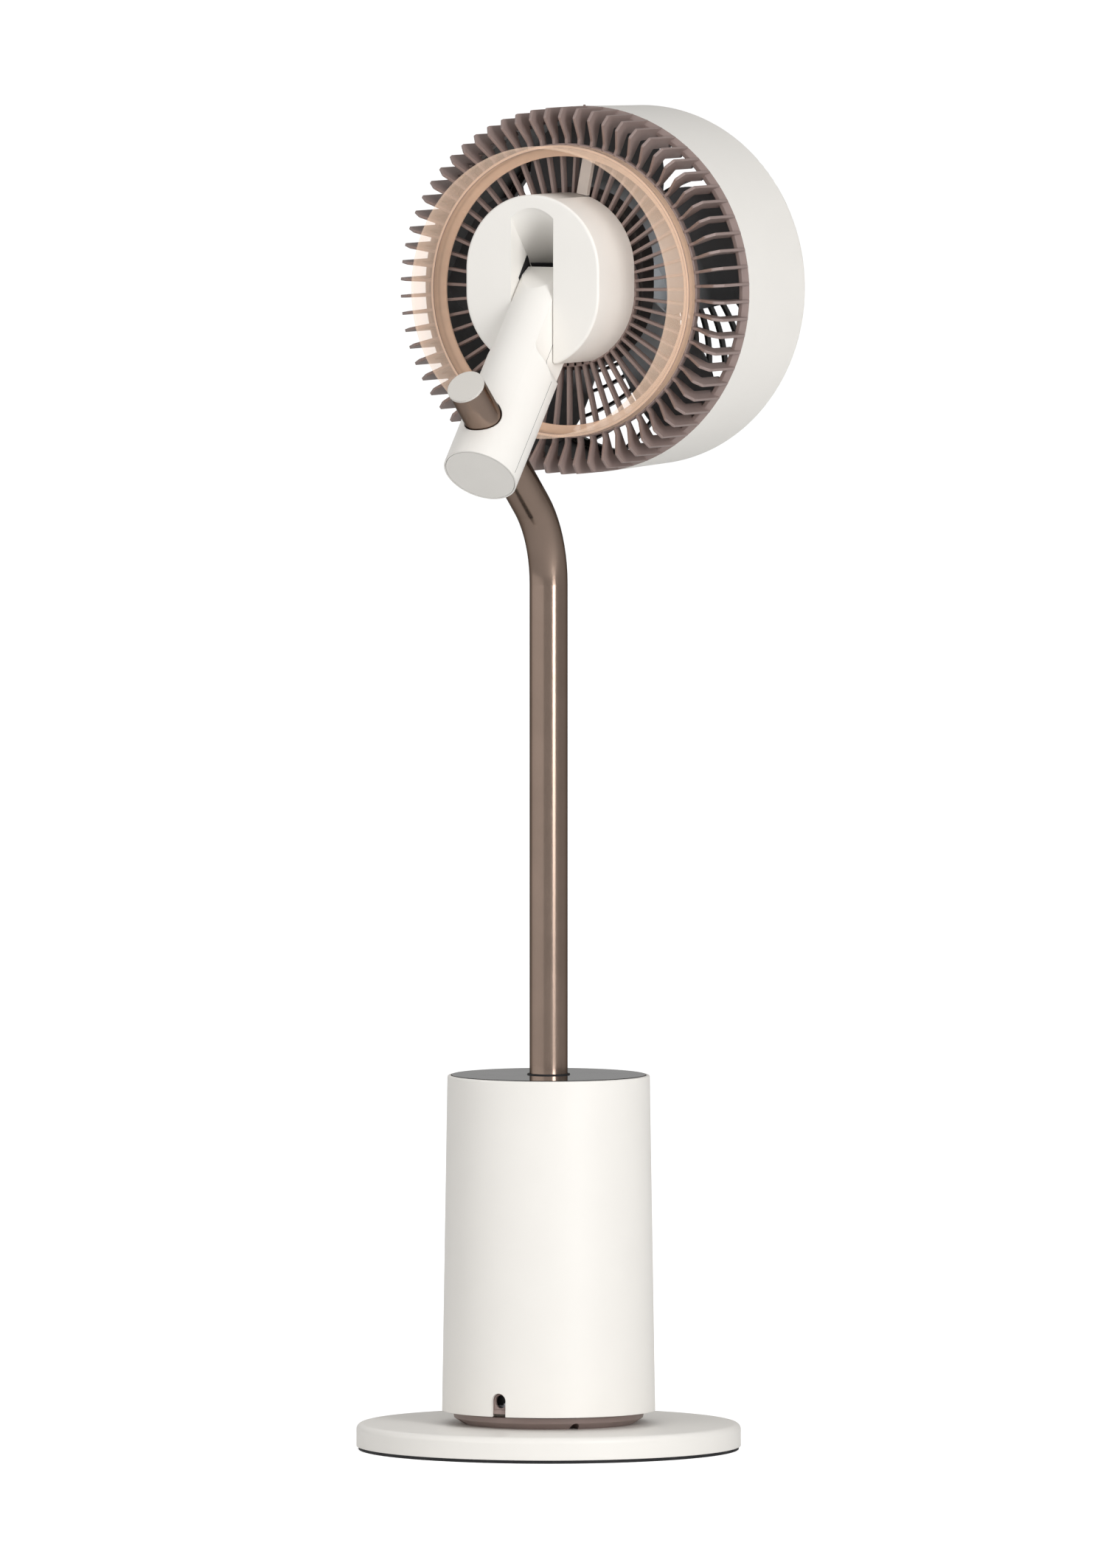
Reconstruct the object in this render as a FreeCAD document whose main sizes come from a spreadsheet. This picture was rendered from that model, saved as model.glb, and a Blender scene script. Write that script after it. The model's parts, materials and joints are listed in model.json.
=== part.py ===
"""Pedestal air circulator fan, in millimetres.

Frame: +Z up, origin at the centre of the underside, the fan blows towards -Y and X = 0 is the mirror plane.
Head pieces are drawn in the head's own frame: its origin is on the fan axis at the rear face of the hub,
local Z runs forwards along the fan axis and local Y runs up.
Arm pieces are drawn along the arm: local Z runs from its lower end to the tilt pivot, local Y along the pole.
"""
import FreeCAD, Part
import math
import os
import Sketcher

FULL_TURN = 360
UP = FreeCAD.Vector(0, 0, 1)
ACROSS = FreeCAD.Vector(1, 0, 0)
REARWARD = FreeCAD.Vector(0, 1, 0)
CENTRE = FreeCAD.Vector(0, 0, 0)
DIAGONAL = 45
NUT_SIDES = 6
# Height of a gear tooth above and below the pitch circle, in modules
TOOTH_TIP = 0.85
TOOTH_ROOT = 1.15
# Points along a curve
FLANK_STEPS = 5
SPIRAL_STEPS = 6
# Blade sections as shares of the span from hub to tip; the outer ones reach beyond and are trimmed
BLADE_STATIONS = (-0.4, 0, 0.5, 1.1)

SIZES = {
    # Clearances
    "fit_gap": 0.3,
    "running_gap": 0.06,
    "seat_gap": 0.05,
    # Base
    "base_radius": 141,
    "foot_setback": 1.5,
    "foot_thickness": 2.5,
    "base_top": 19,
    "base_wall": 2.5,
    "base_edge_round": 4.5,
    "floor_thickness": 2,
    "ballast_gap": 5,
    "ballast_inner_radius": 40,
    "ballast_thickness": 8,
    "boss_inset": 37,
    "boss_radius": 5,
    # Screws
    "screw_radius": 1.8,
    "screw_head_radius": 3,
    "screw_head_height": 1.4,
    "screw_grip": 7,
    "screw_count": 4,
    # Turntable neck and yaw gear
    "neck_inset": 8.2,
    "neck_flare": 7.5,
    "neck_waist_flare": 6.8,
    "neck_waist_height": 4.5,
    "neck_height": 8.5,
    "neck_bore_radius": 14,
    "neck_screw_ring_radius": 36,
    "neck_notch_radius": 3.3,
    "neck_notch_rise": 1.3,
    "neck_notch_depth": 12,
    "neck_notch_count": 4,
    "spigot_radius": 24,
    "gear_seat_radius": 18,
    "slide_ring_inset": 2.5,
    "slide_ring_width": 14,
    "slide_ring_thickness": 2.7,
    "gear_module": 1.5,
    "gear_teeth": 40,
    "pinion_teeth": 12,
    "gear_thickness": 6,
    "gear_backlash": 0.4,
    "gear_centre_gap": 0.1,
    "pressure_angle": 25,
    "spindle_nut_radius": 26,
    "spindle_nut_height": 4,
    # Column
    "column_gap": 1,
    "column_height": 246,
    "column_bottom_radius": 78.2,
    "column_taper": 4,
    "column_wall": 2.5,
    "column_edge_round": 1.2,
    "lug_depth": 6,
    "lug_width": 11,
    "lug_height": 12,
    "notch_width": 11.2,
    "notch_height": 17.2,
    "outlet_width": 8.8,
    "outlet_sill": 1.2,
    "outlet_setback": 0.8,
    "outlet_plate_width": 17,
    "outlet_plate_height": 17,
    "outlet_plate_thickness": 2.5,
    "chassis_thickness": 3,
    # Pole seat inside the column
    "bell_flange_inset": 9.2,
    "bell_flange_width": 7,
    "bell_wall": 3,
    "bell_height": 26.5,
    "socket_height": 70,
    "socket_wall": 4.4,
    "wire_hole_step": 4,
    "clamp_wall": 5,
    "clamp_height": 12,
    "clamp_slit": 3,
    "yaw_motor_radius": 14,
    "yaw_motor_height": 24,
    "pinion_shaft_radius": 2.5,
    "pinion_shaft_grip": 9,
    "board_length": 44,
    "board_width": 26,
    "board_thickness": 1.6,
    "board_setback": 43,
    "board_post_radius": 3,
    "board_post_height": 4,
    "transformer_side": 16,
    # Top panel
    "panel_rim": 2.4,
    "panel_gap": 0.8,
    "panel_proud": 0.5,
    "panel_thickness": 3,
    "gasket_thickness": 3,
    "ledge_thickness": 3,
    "ledge_width": 6,
    "panel_hole_gap": 2,
    "grommet_wall": 1.5,
    "grommet_flange_width": 3.4,
    "grommet_flange_thickness": 2,
    "grommet_proud": 0.7,
    "touch_board_inset": 5.8,
    "touch_board_gap": 0.6,
    # Pole
    "pole_radius": 14,
    "pole_wall": 1.5,
    "pole_corner_height": 670.4,
    "pole_bend_radius": 80,
    "pole_bend_angle": 48.5,
    "pole_end_length": 172.2,
    "pole_cap_thickness": 2,
    "pole_cap_plug": 12,
    # Arm
    "arm_crossing": 111.75,
    "arm_radius": 27.75,
    "arm_tail": 34.3,
    "arm_wall": 2.5,
    "arm_tongue_width": 33.5,
    "arm_facet_drop": 6.7,
    "arm_shoulder_start": 55,
    "arm_shoulder_length": 20,
    "arm_hole_gap": 0.7,
    "arm_cap_thickness": 3,
    "arm_cap_plug": 5,
    "arm_cap_rim": 1.2,
    "arm_core_tail": 22,
    "arm_core_head": 26,
    "arm_bar_depth": 24,
    "arm_eye_radius": 15,
    "axle_radius": 5,
    "axle_nut_radius": 8,
    "axle_nut_height": 4,
    "washer_radius": 10,
    "washer_thickness": 1.5,
    # Head
    "fan_axis_rise": 9.4,
    "hub_rear": 26,
    "hub_radius": 55,
    "hub_stretch": 17.1,
    "hub_flat": 3.8,
    "hub_depth": 56,
    "hub_wall": 2.5,
    "hub_edge_round": 2,
    "slot_side_gap": 0.75,
    "slot_clearance": 0.6,
    "slot_liner": 2,
    "slot_arch_rise": 5,
    "tilt_down_limit": 15,
    "tilt_up_limit": 90,
    "tilt_spare": 6.8,
    "cheek_thickness": 3,
    "cheek_radius": 15,
    "cheek_foot": 10,
    "hub_plate_overhang": 1,
    "hub_plate_thickness": 3,
    "plate_screw_inset": 3,
    # Grilles and drum
    "rib_count": 66,
    "rib_thickness": 2.2,
    "rib_depth": 9.5,
    "spoke_count": 55,
    "spoke_thickness": 2.2,
    "spoke_depth": 6,
    "hub_ring_width": 6,
    "accent_radius": 107,
    "accent_rear": 12,
    "accent_setback": 3,
    "accent_wall": 2,
    "accent_lip_width": 8.5,
    "accent_lip_round": 6,
    "mid_ring_width": 3,
    "mid_ring_depth": 6,
    "rib_shelf": 5,
    "rib_crest_reach": 20.5,
    "rib_crest_rise": 11,
    "rib_corner_drop": 6,
    "rib_bend": 4,
    "rib_corner_round": 1.6,
    "rib_setback": 2,
    "skirt_reach": 7,
    "skirt_depth": 24,
    "drum_depth": 95,
    "drum_wall": 2.5,
    "drum_taper": 2.3,
    "drum_lip_width": 6.2,
    "drum_lip_round": 4,
    "grille_ring_depth": 6,
    "grille_ring_width": 3.5,
    "grille_flange_depth": 5,
    "tab_width": 1.4,
    "tab_length": 1.8,
    "tab_height": 1,
    "tab_setback": 5,
    "duct_width": 8.5,
    "duct_depth": 4.5,
    "duct_pitches": 2,
    "spiral_count": 28,
    "spiral_angle": 45,
    "spiral_thickness": 2,
    "spiral_depth": 6,
    "front_ring_width": 4,
    "front_ring_seat": 2,
    "front_cap_radius": 30,
    "front_cap_wall": 2.5,
    "front_cap_rise": 5,
    # Motor and blade
    "cover_overhang": 2.6,
    "cover_wall": 2,
    "cover_depth": 18,
    "bearing_tube_radius": 11,
    "bearing_radius": 8,
    "bearing_width": 5,
    "shaft_radius": 3,
    "bearing_tube_length": 30,
    "stator_radius": 30,
    "stator_length": 16,
    "stator_slots": 12,
    "stator_standoff": 5,
    "bell_gap": 1.2,
    "rotor_wall": 4,
    "blade_hub_radius": 44,
    "blade_hub_wall": 2.5,
    "blade_hub_depth": 34,
    "blade_count": 5,
    "blade_phase": 14,
    "blade_tip_gap": 5.2,
    "blade_root_chord": 86,
    "blade_middle_chord": 98,
    "blade_tip_chord": 46,
    "blade_root_pitch": 32,
    "blade_tip_pitch": 24,
    "blade_thickness": 2.4,
    "blade_camber": 0.06,
    "blade_nut_radius": 9,
    "blade_nut_height": 10,
}

doc = FreeCAD.newDocument("air_circulator")
sheet = doc.addObject("Spreadsheet::Sheet", "Sizes")
for row, (alias, number) in enumerate(SIZES.items(), start=1):
    sheet.set(f"A{row}", alias)
    sheet.set(f"B{row}", str(number))
    sheet.setAlias(f"B{row}", alias)
doc.recompute()


class Size:
    """A number together with the sheet formula that it comes from."""

    def __init__(self, value, formula):
        self.value = value
        self.formula = formula

    def __float__(self):
        return float(self.value)

    def __add__(self, other):
        other = as_size(other)
        return Size(self.value + other.value, f"({self.formula} + {other.formula})")

    def __radd__(self, other):
        return as_size(other) + self

    def __sub__(self, other):
        other = as_size(other)
        return Size(self.value - other.value, f"({self.formula} - {other.formula})")

    def __rsub__(self, other):
        return as_size(other) - self

    def __mul__(self, other):
        other = as_size(other)
        return Size(self.value * other.value, f"({self.formula} * {other.formula})")

    def __rmul__(self, other):
        return as_size(other) * self

    def __truediv__(self, other):
        other = as_size(other)
        return Size(self.value / other.value, f"({self.formula} / {other.formula})")

    def __neg__(self):
        return Size(-self.value, f"(-{self.formula})")


class Dimensions:
    """Reads the sheet: dim.pole_radius is the value and the formula of the cell pole_radius."""

    def __getattr__(self, alias):
        return Size(float(sheet.get(alias)), f"Sizes.{alias}")


def as_size(number):
    """A plain number as a Size, and a Size as it is."""
    if isinstance(number, Size):
        return number
    return Size(number, f"({number})")


def sine(angle):
    """Sine of an angle in degrees."""
    return Size(math.sin(math.radians(float(angle))), f"sin({angle.formula} * 1 deg)")


def cosine(angle):
    """Cosine of an angle in degrees."""
    return Size(math.cos(math.radians(float(angle))), f"cos({angle.formula} * 1 deg)")


def tangent(angle):
    """Tangent of an angle in degrees."""
    return sine(angle) / cosine(angle)


dim = Dimensions()
pieces = {}


def whole(count):
    """A count from the sheet."""
    return int(float(count))


def vector(x, y, z):
    """A point whose coordinates may be sizes."""
    return FreeCAD.Vector(float(x), float(y), float(z))


def bind(item, **sizes):
    """Tie properties of an object to the sheet."""
    for name, value in sizes.items():
        item.setExpression(name, as_size(value).formula)


def place(item, x=0, y=0, z=0, axis=None, angle=0):
    """Put an object at a bound position, turned about an axis by a bound angle."""
    turn = FreeCAD.Rotation(axis or UP, float(angle))
    item.Placement = FreeCAD.Placement(vector(x, y, z), turn)
    for name, value in (("x", x), ("y", y), ("z", z)):
        item.setExpression(f".Placement.Base.{name}", as_size(value).formula)
    if isinstance(angle, Size):
        item.setExpression(".Placement.Rotation.Angle", angle.formula)
    return item


def keep(label, item):
    """Name a finished sub-part."""
    item.Label = label
    pieces[label] = item
    return item


def keep_shape(label, shape):
    """A finished sub-part from a ready shape."""
    item = doc.addObject("Part::Feature", label)
    item.Shape = shape
    return keep(label, item)


def cylinder(radius, height, x=0, y=0, z=0, axis=None, angle=0):
    """A cylinder that stands on its position."""
    item = doc.addObject("Part::Cylinder", "cylinder")
    bind(item, Radius=radius, Height=height)
    return place(item, x, y, z, axis, angle)


def box(length, width, height, x=0, y=0, z=0, axis=None, angle=0):
    """A box from its lower corner."""
    item = doc.addObject("Part::Box", "box")
    bind(item, Length=length, Width=width, Height=height)
    return place(item, x, y, z, axis, angle)


def cut(base, *tools):
    """The base without the tools."""
    for tool in tools:
        item = doc.addObject("Part::Cut", "cut")
        item.Base = base
        item.Tool = tool
        base = item
    return base


def fuse(*items):
    """Several objects joined to one."""
    item = doc.addObject("Part::MultiFuse", "fuse")
    item.Shapes = list(items)
    item.Refine = True
    return item


def origin_plane(body, role):
    """One of a body's own origin planes."""
    return next(plane for plane in body.Origin.OriginFeatures if plane.Role == role)


def outline(body, role, corners):
    """A closed sketch through corners (across, up) or rounded corners (across, up, radius)."""
    sketch = body.newObject("Sketcher::SketchObject", "outline")
    sketch.AttachmentSupport = [(origin_plane(body, role), "")]
    sketch.MapMode = "FlatFace"
    points = [vector(corner[0], corner[1], 0) for corner in corners]
    for start, end in zip(points, points[1:] + points[:1]):
        sketch.addGeometry(Part.LineSegment(start, end), False)
    for line in range(len(points)):
        sketch.addConstraint(Sketcher.Constraint("Coincident", line, 2, (line + 1) % len(points), 1))
    for line, corner in enumerate(corners):
        for direction, value in zip(("DistanceX", "DistanceY"), corner):
            rule = Sketcher.Constraint(direction, -1, 1, line, 1, float(value))
            sketch.setExpression(f"Constraints[{sketch.addConstraint(rule)}]", as_size(value).formula)
    doc.recompute()
    for line, corner in enumerate(corners):
        if len(corner) == 3:
            sketch.fillet(line, 1, float(corner[2]), True, True)
            arc = sketch.GeometryCount - 2
            rule = sketch.addConstraint(Sketcher.Constraint("Radius", arc, float(corner[2])))
            sketch.setExpression(f"Constraints[{rule}]", as_size(corner[2]).formula)
    return sketch


def turned(corners):
    """A body turned about its Z axis from an outline of (radius, height) corners."""
    body = doc.addObject("PartDesign::Body", "turned")
    sketch = outline(body, "XZ_Plane", corners)
    turn = body.newObject("PartDesign::Revolution", "turn")
    turn.Profile = sketch
    turn.ReferenceAxis = (sketch, ["V_Axis"])
    turn.Angle = FULL_TURN
    return body


def ring(inner, outer, bottom, height):
    """A plain ring or washer about the Z axis."""
    top = bottom + height
    return turned([(inner, bottom), (outer, bottom), (outer, top), (inner, top)])


def ring_angles(count, first=0):
    """Evenly spaced angles round a full turn."""
    return [first + step * FULL_TURN / count for step in range(count)]


def screw(point, direction, grip):
    """A pan-head screw: its head sits at the point and its shank runs along the direction."""
    head_height = float(dim.screw_head_height)
    head_start = point - direction * head_height
    head = Part.makeCylinder(float(dim.screw_head_radius), head_height, head_start, direction)
    shank = Part.makeCylinder(float(dim.screw_radius - dim.seat_gap), float(grip), point, direction)
    return head.fuse(shank).removeSplitter()


def screw_ring(label, radius, level, direction, grip, first):
    """A ring of equal screws, one solid each."""
    screws = []
    for angle in ring_angles(whole(dim.screw_count), first):
        turn = FreeCAD.Rotation(UP, angle)
        screws.append(screw(turn.multVec(vector(radius, 0, level)), direction, grip))
    return keep_shape(label, Part.makeCompound(screws))


def hole_ring(radius, hole_radius, level, depth, first):
    """The holes for a ring of screws, as one tool."""
    holes = []
    for angle in ring_angles(whole(dim.screw_count), first):
        turn = Size(angle, f"({angle})")
        holes.append(cylinder(hole_radius, depth, radius * cosine(turn), radius * sine(turn), level))
    return fuse(*holes)


# Radii of the base and the column
foot_radius = dim.base_radius - dim.foot_setback
boss_ring_radius = dim.base_radius - dim.boss_inset
ballast_outer_radius = boss_ring_radius - dim.boss_radius - dim.ballast_gap
column_top_radius = dim.column_bottom_radius - dim.column_taper
neck_top_radius = dim.column_bottom_radius - dim.neck_inset
neck_bottom_radius = neck_top_radius - dim.neck_flare
neck_waist_radius = neck_bottom_radius + dim.neck_waist_flare
slide_ring_outer_radius = neck_bottom_radius - dim.slide_ring_inset
slide_ring_inner_radius = slide_ring_outer_radius - dim.slide_ring_width
bell_flange_radius = dim.column_bottom_radius - dim.bell_flange_inset
bell_radius = bell_flange_radius - dim.bell_flange_width
wire_hole_radius = dim.pole_radius - dim.wire_hole_step
panel_hole_radius = dim.pole_radius + dim.panel_hole_gap
grommet_flange_radius = panel_hole_radius + dim.grommet_flange_width
touch_board_hole_radius = grommet_flange_radius + dim.touch_board_gap
touch_board_radius = column_top_radius - dim.panel_rim - dim.ledge_width - dim.touch_board_inset

# Heights that several pieces share, from the floor up
plate_bottom = dim.foot_thickness
plate_top = plate_bottom + dim.floor_thickness
cover_inside = dim.base_top - dim.base_wall
neck_top = dim.base_top + dim.neck_height
slide_top = neck_top + dim.slide_ring_thickness
chassis_bottom = slide_top + dim.fit_gap
chassis_top = chassis_bottom + dim.chassis_thickness
gear_bottom = chassis_top + dim.fit_gap
gear_top = gear_bottom + dim.gear_thickness
spigot_top = gear_top + dim.spindle_nut_height
column_bottom = neck_top + dim.column_gap
column_top = column_bottom + dim.column_height
deck_top = chassis_top + dim.bell_height
deck_bottom = deck_top - dim.bell_wall
screw_hole_radius = dim.screw_radius
pinion_offset = (dim.gear_teeth + dim.pinion_teeth) * dim.gear_module / 2 + dim.gear_centre_gap


def build_base():
    """The weighted foot that stays on the floor."""
    pad = turned([(0, 0), (foot_radius, 0), (foot_radius, plate_bottom), (0, plate_bottom)])
    head_room = hole_ring(
        boss_ring_radius, dim.screw_head_radius + dim.fit_gap, as_size(0), plate_bottom, DIAGONAL)
    keep("foot_pad", cut(pad, head_room))
    plate_radius = dim.base_radius - dim.base_wall - dim.fit_gap
    plate = turned([
        (0, plate_bottom), (plate_radius, plate_bottom), (plate_radius, plate_top), (0, plate_top),
    ])
    base_holes = hole_ring(
        boss_ring_radius, screw_hole_radius, plate_bottom, dim.floor_thickness, DIAGONAL)
    keep("floor_plate", cut(plate, base_holes))
    keep("ballast_plate", ring(
        dim.ballast_inner_radius, ballast_outer_radius, plate_top, dim.ballast_thickness))

    inner_radius = dim.base_radius - dim.base_wall
    inner_round = dim.base_edge_round - dim.base_wall
    cover = turned([
        (inner_radius, plate_bottom), (dim.base_radius, plate_bottom),
        (dim.base_radius, dim.base_top, dim.base_edge_round), (dim.neck_bore_radius, dim.base_top),
        (dim.neck_bore_radius, cover_inside), (inner_radius, cover_inside, inner_round),
    ])
    boss_height = cover_inside + dim.base_wall / 2 - plate_top
    bosses = hole_ring(boss_ring_radius, dim.boss_radius, plate_top, boss_height, DIAGONAL)
    boss_bores = hole_ring(boss_ring_radius, screw_hole_radius, plate_top, dim.screw_grip, DIAGONAL)
    neck_bores = hole_ring(dim.neck_screw_ring_radius, screw_hole_radius, cover_inside, dim.base_wall, 0)
    keep("base_cover", cut(fuse(cover, bosses), boss_bores, neck_bores))
    screw_ring("base_screws", boss_ring_radius, plate_bottom, UP, dim.screw_grip, DIAGONAL)


def build_turntable():
    """The notched neck, the slide ring and the fixed gear that the column turns on."""
    neck = turned([
        (dim.neck_bore_radius, dim.base_top), (neck_bottom_radius, dim.base_top),
        (neck_waist_radius, dim.base_top + dim.neck_waist_height), (neck_top_radius, neck_top),
        (dim.spigot_radius, neck_top), (dim.spigot_radius, gear_bottom),
        (dim.gear_seat_radius, gear_bottom), (dim.gear_seat_radius, spigot_top),
        (dim.neck_bore_radius, spigot_top),
    ])
    neck_bores = hole_ring(
        dim.neck_screw_ring_radius, screw_hole_radius, dim.base_top, dim.screw_grip - dim.base_wall, 0)
    notches = []
    for angle in ring_angles(whole(dim.neck_notch_count), DIAGONAL):
        turn = FreeCAD.Rotation(UP, angle)
        start = neck_bottom_radius - dim.neck_notch_depth
        notch = doc.addObject("Part::Cylinder", "notch")
        bind(notch, Radius=dim.neck_notch_radius, Height=dim.neck_notch_depth + dim.neck_flare * 2)
        across = turn.multVec(vector(start, 0, dim.base_top + dim.neck_notch_rise))
        notch.Placement = FreeCAD.Placement(across, FreeCAD.Rotation(UP, turn.multVec(ACROSS)))
        notches.append(notch)
    keep("turntable_neck", cut(neck, neck_bores, fuse(*notches)))
    screw_ring("neck_screws", dim.neck_screw_ring_radius, cover_inside, UP, dim.screw_grip, 0)
    keep("slide_ring", ring(
        slide_ring_inner_radius, slide_ring_outer_radius, neck_top, dim.slide_ring_thickness))
    nut_bore = dim.gear_seat_radius + dim.seat_gap
    keep("spindle_nut", ring(nut_bore, dim.spindle_nut_radius, gear_top, dim.spindle_nut_height))


def gear_wire(teeth, level, phase):
    """The closed outline of an involute gear; the phase is the angle of the middle of one tooth."""
    module = float(dim.gear_module)
    pressure = math.radians(float(dim.pressure_angle))
    pitch_radius = teeth * module / 2
    base_circle = pitch_radius * math.cos(pressure)
    tip_radius = pitch_radius + TOOTH_TIP * module
    root_radius = pitch_radius - TOOTH_ROOT * module
    half_tooth = math.pi / (2 * teeth) - float(dim.gear_backlash) / (2 * pitch_radius)

    def flank_angle(radius):
        """Half the tooth's angle at a radius, from the involute of the base circle."""
        def involute(at_radius):
            lean = math.acos(min(1, base_circle / at_radius))
            return math.tan(lean) - lean
        return half_tooth + involute(pitch_radius) - involute(max(radius, base_circle))

    tooth_height = tip_radius - root_radius
    flank = [root_radius + tooth_height * step / (FLANK_STEPS - 1) for step in range(FLANK_STEPS)]
    points = []
    for tooth in range(teeth):
        middle = math.radians(phase) + 2 * math.pi * tooth / teeth
        for radius in flank:
            angle = middle - flank_angle(radius)
            points.append(vector(radius * math.cos(angle), radius * math.sin(angle), level))
        for radius in reversed(flank):
            angle = middle + flank_angle(radius)
            points.append(vector(radius * math.cos(angle), radius * math.sin(angle), level))
    return Part.makePolygon(points + points[:1])


def build_gears():
    """The fixed centre gear and the pinion that walks round it, one tooth gap on the line between them."""
    height = float(dim.gear_thickness) * UP
    teeth = whole(dim.gear_teeth)
    small_teeth = whole(dim.pinion_teeth)
    blank = Part.Face(gear_wire(teeth, gear_bottom, 0)).extrude(height)
    bore_radius = float(dim.gear_seat_radius + dim.seat_gap)
    bore = Part.makeCylinder(bore_radius, float(dim.gear_thickness), vector(0, 0, gear_bottom))
    keep_shape("centre_gear", blank.cut(bore))

    facing_gap = FULL_TURN / 2 + FULL_TURN / small_teeth / 2
    wheel = Part.Face(gear_wire(small_teeth, gear_bottom, facing_gap)).extrude(height)
    shaft_length = deck_top + dim.pinion_shaft_grip - gear_bottom
    shaft = Part.makeCylinder(
        float(dim.pinion_shaft_radius), float(shaft_length), vector(0, 0, gear_bottom))
    pinion = wheel.fuse(shaft).removeSplitter()
    pinion.translate(vector(pinion_offset, 0, 0))
    keep_shape("yaw_pinion", pinion)


def column_radius(level):
    """Outer radius of the tapered column at a height."""
    taper = (dim.column_bottom_radius - column_top_radius) / dim.column_height
    return dim.column_bottom_radius - taper * (level - column_bottom)


def radial_box(length, width, height, radius, level, angle):
    """A box whose inner end face is centred at a radius and an angle."""
    turn = Size(angle, f"({angle})")
    side = width / 2
    x = radius * cosine(turn) + side * sine(turn)
    y = radius * sine(turn) - side * cosine(turn)
    return box(length, width, height, x, y, level, UP, turn)


def arch_tool(width, bottom, height, start, depth):
    """A doorway with a round top, cut rearwards from a distance behind the axis."""
    door = box(width, depth, height - width / 2, -width / 2, start, bottom)
    top = cylinder(width / 2, depth, 0, start + depth, bottom + height - width / 2, ACROSS, 90)
    return fuse(door, top)


def long_hole(width, bottom, height, start, depth):
    """An upright hole with round ends, cut rearwards from a distance behind the axis."""
    end = cylinder(width / 2, depth, 0, start + depth, bottom + width / 2, ACROSS, 90)
    return fuse(arch_tool(width, bottom + width / 2, height - width / 2, start, depth), end)


def build_column():
    """The tapered shell that turns on the base, its floor and its cord outlet."""
    bottom_radius = dim.column_bottom_radius
    rim_inside = column_top_radius - dim.panel_rim
    gasket_seat = column_top - dim.panel_thickness - dim.gasket_thickness
    ledge_bottom = gasket_seat - dim.ledge_thickness
    shell = turned([
        (bottom_radius - dim.column_wall, column_bottom), (bottom_radius, column_bottom),
        (column_top_radius, column_top, dim.column_edge_round), (rim_inside, column_top),
        (rim_inside, gasket_seat), (rim_inside - dim.ledge_width, gasket_seat),
        (rim_inside - dim.ledge_width, ledge_bottom),
        (column_radius(ledge_bottom) - dim.column_wall, ledge_bottom),
    ])
    inside_radius = column_radius(chassis_top + dim.lug_height) - dim.column_wall
    lug_start = inside_radius - dim.lug_depth
    lugs = []
    for angle in ring_angles(whole(dim.screw_count), DIAGONAL):
        lugs.append(radial_box(
            dim.lug_depth + dim.column_wall / 2, dim.lug_width, dim.lug_height,
            lug_start, chassis_top, angle))
    lug_ring = lug_start + dim.lug_depth / 2
    lug_bores = hole_ring(lug_ring, screw_hole_radius, chassis_top, dim.screw_grip, DIAGONAL)
    notch_start = inside_radius - dim.column_wall
    notch = arch_tool(
        dim.notch_width, column_bottom, dim.notch_height, notch_start, dim.column_wall * 4)
    keep("column_shell", cut(fuse(shell, *lugs), lug_bores, notch))

    chassis_radius = column_radius(chassis_top) - dim.column_wall - dim.fit_gap
    bell_screw_ring = bell_flange_radius - dim.screw_head_radius
    floor = ring(dim.spigot_radius + dim.running_gap, chassis_radius, chassis_bottom, dim.chassis_thickness)
    floor_bores = hole_ring(lug_ring, screw_hole_radius, chassis_bottom, dim.chassis_thickness, DIAGONAL)
    bell_bores = hole_ring(bell_screw_ring, screw_hole_radius, chassis_bottom, dim.chassis_thickness, 0)
    keep("column_chassis", cut(floor, floor_bores, bell_bores))
    screw_ring("shell_screws", lug_ring, chassis_bottom, UP, dim.screw_grip, DIAGONAL)

    outlet_start = chassis_radius - dim.outlet_plate_thickness - dim.outlet_setback
    plate = box(
        dim.outlet_plate_width, dim.outlet_plate_thickness, dim.outlet_plate_height,
        -dim.outlet_plate_width / 2, outlet_start, chassis_top)
    outlet_inset = (dim.notch_width - dim.outlet_width) / 2
    outlet_bottom = chassis_top + dim.outlet_sill
    outlet_height = column_bottom + dim.notch_height - outlet_inset - outlet_bottom
    outlet = long_hole(
        dim.outlet_width, outlet_bottom, outlet_height, outlet_start, dim.outlet_plate_thickness)
    keep("cord_outlet", cut(plate, outlet))


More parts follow.
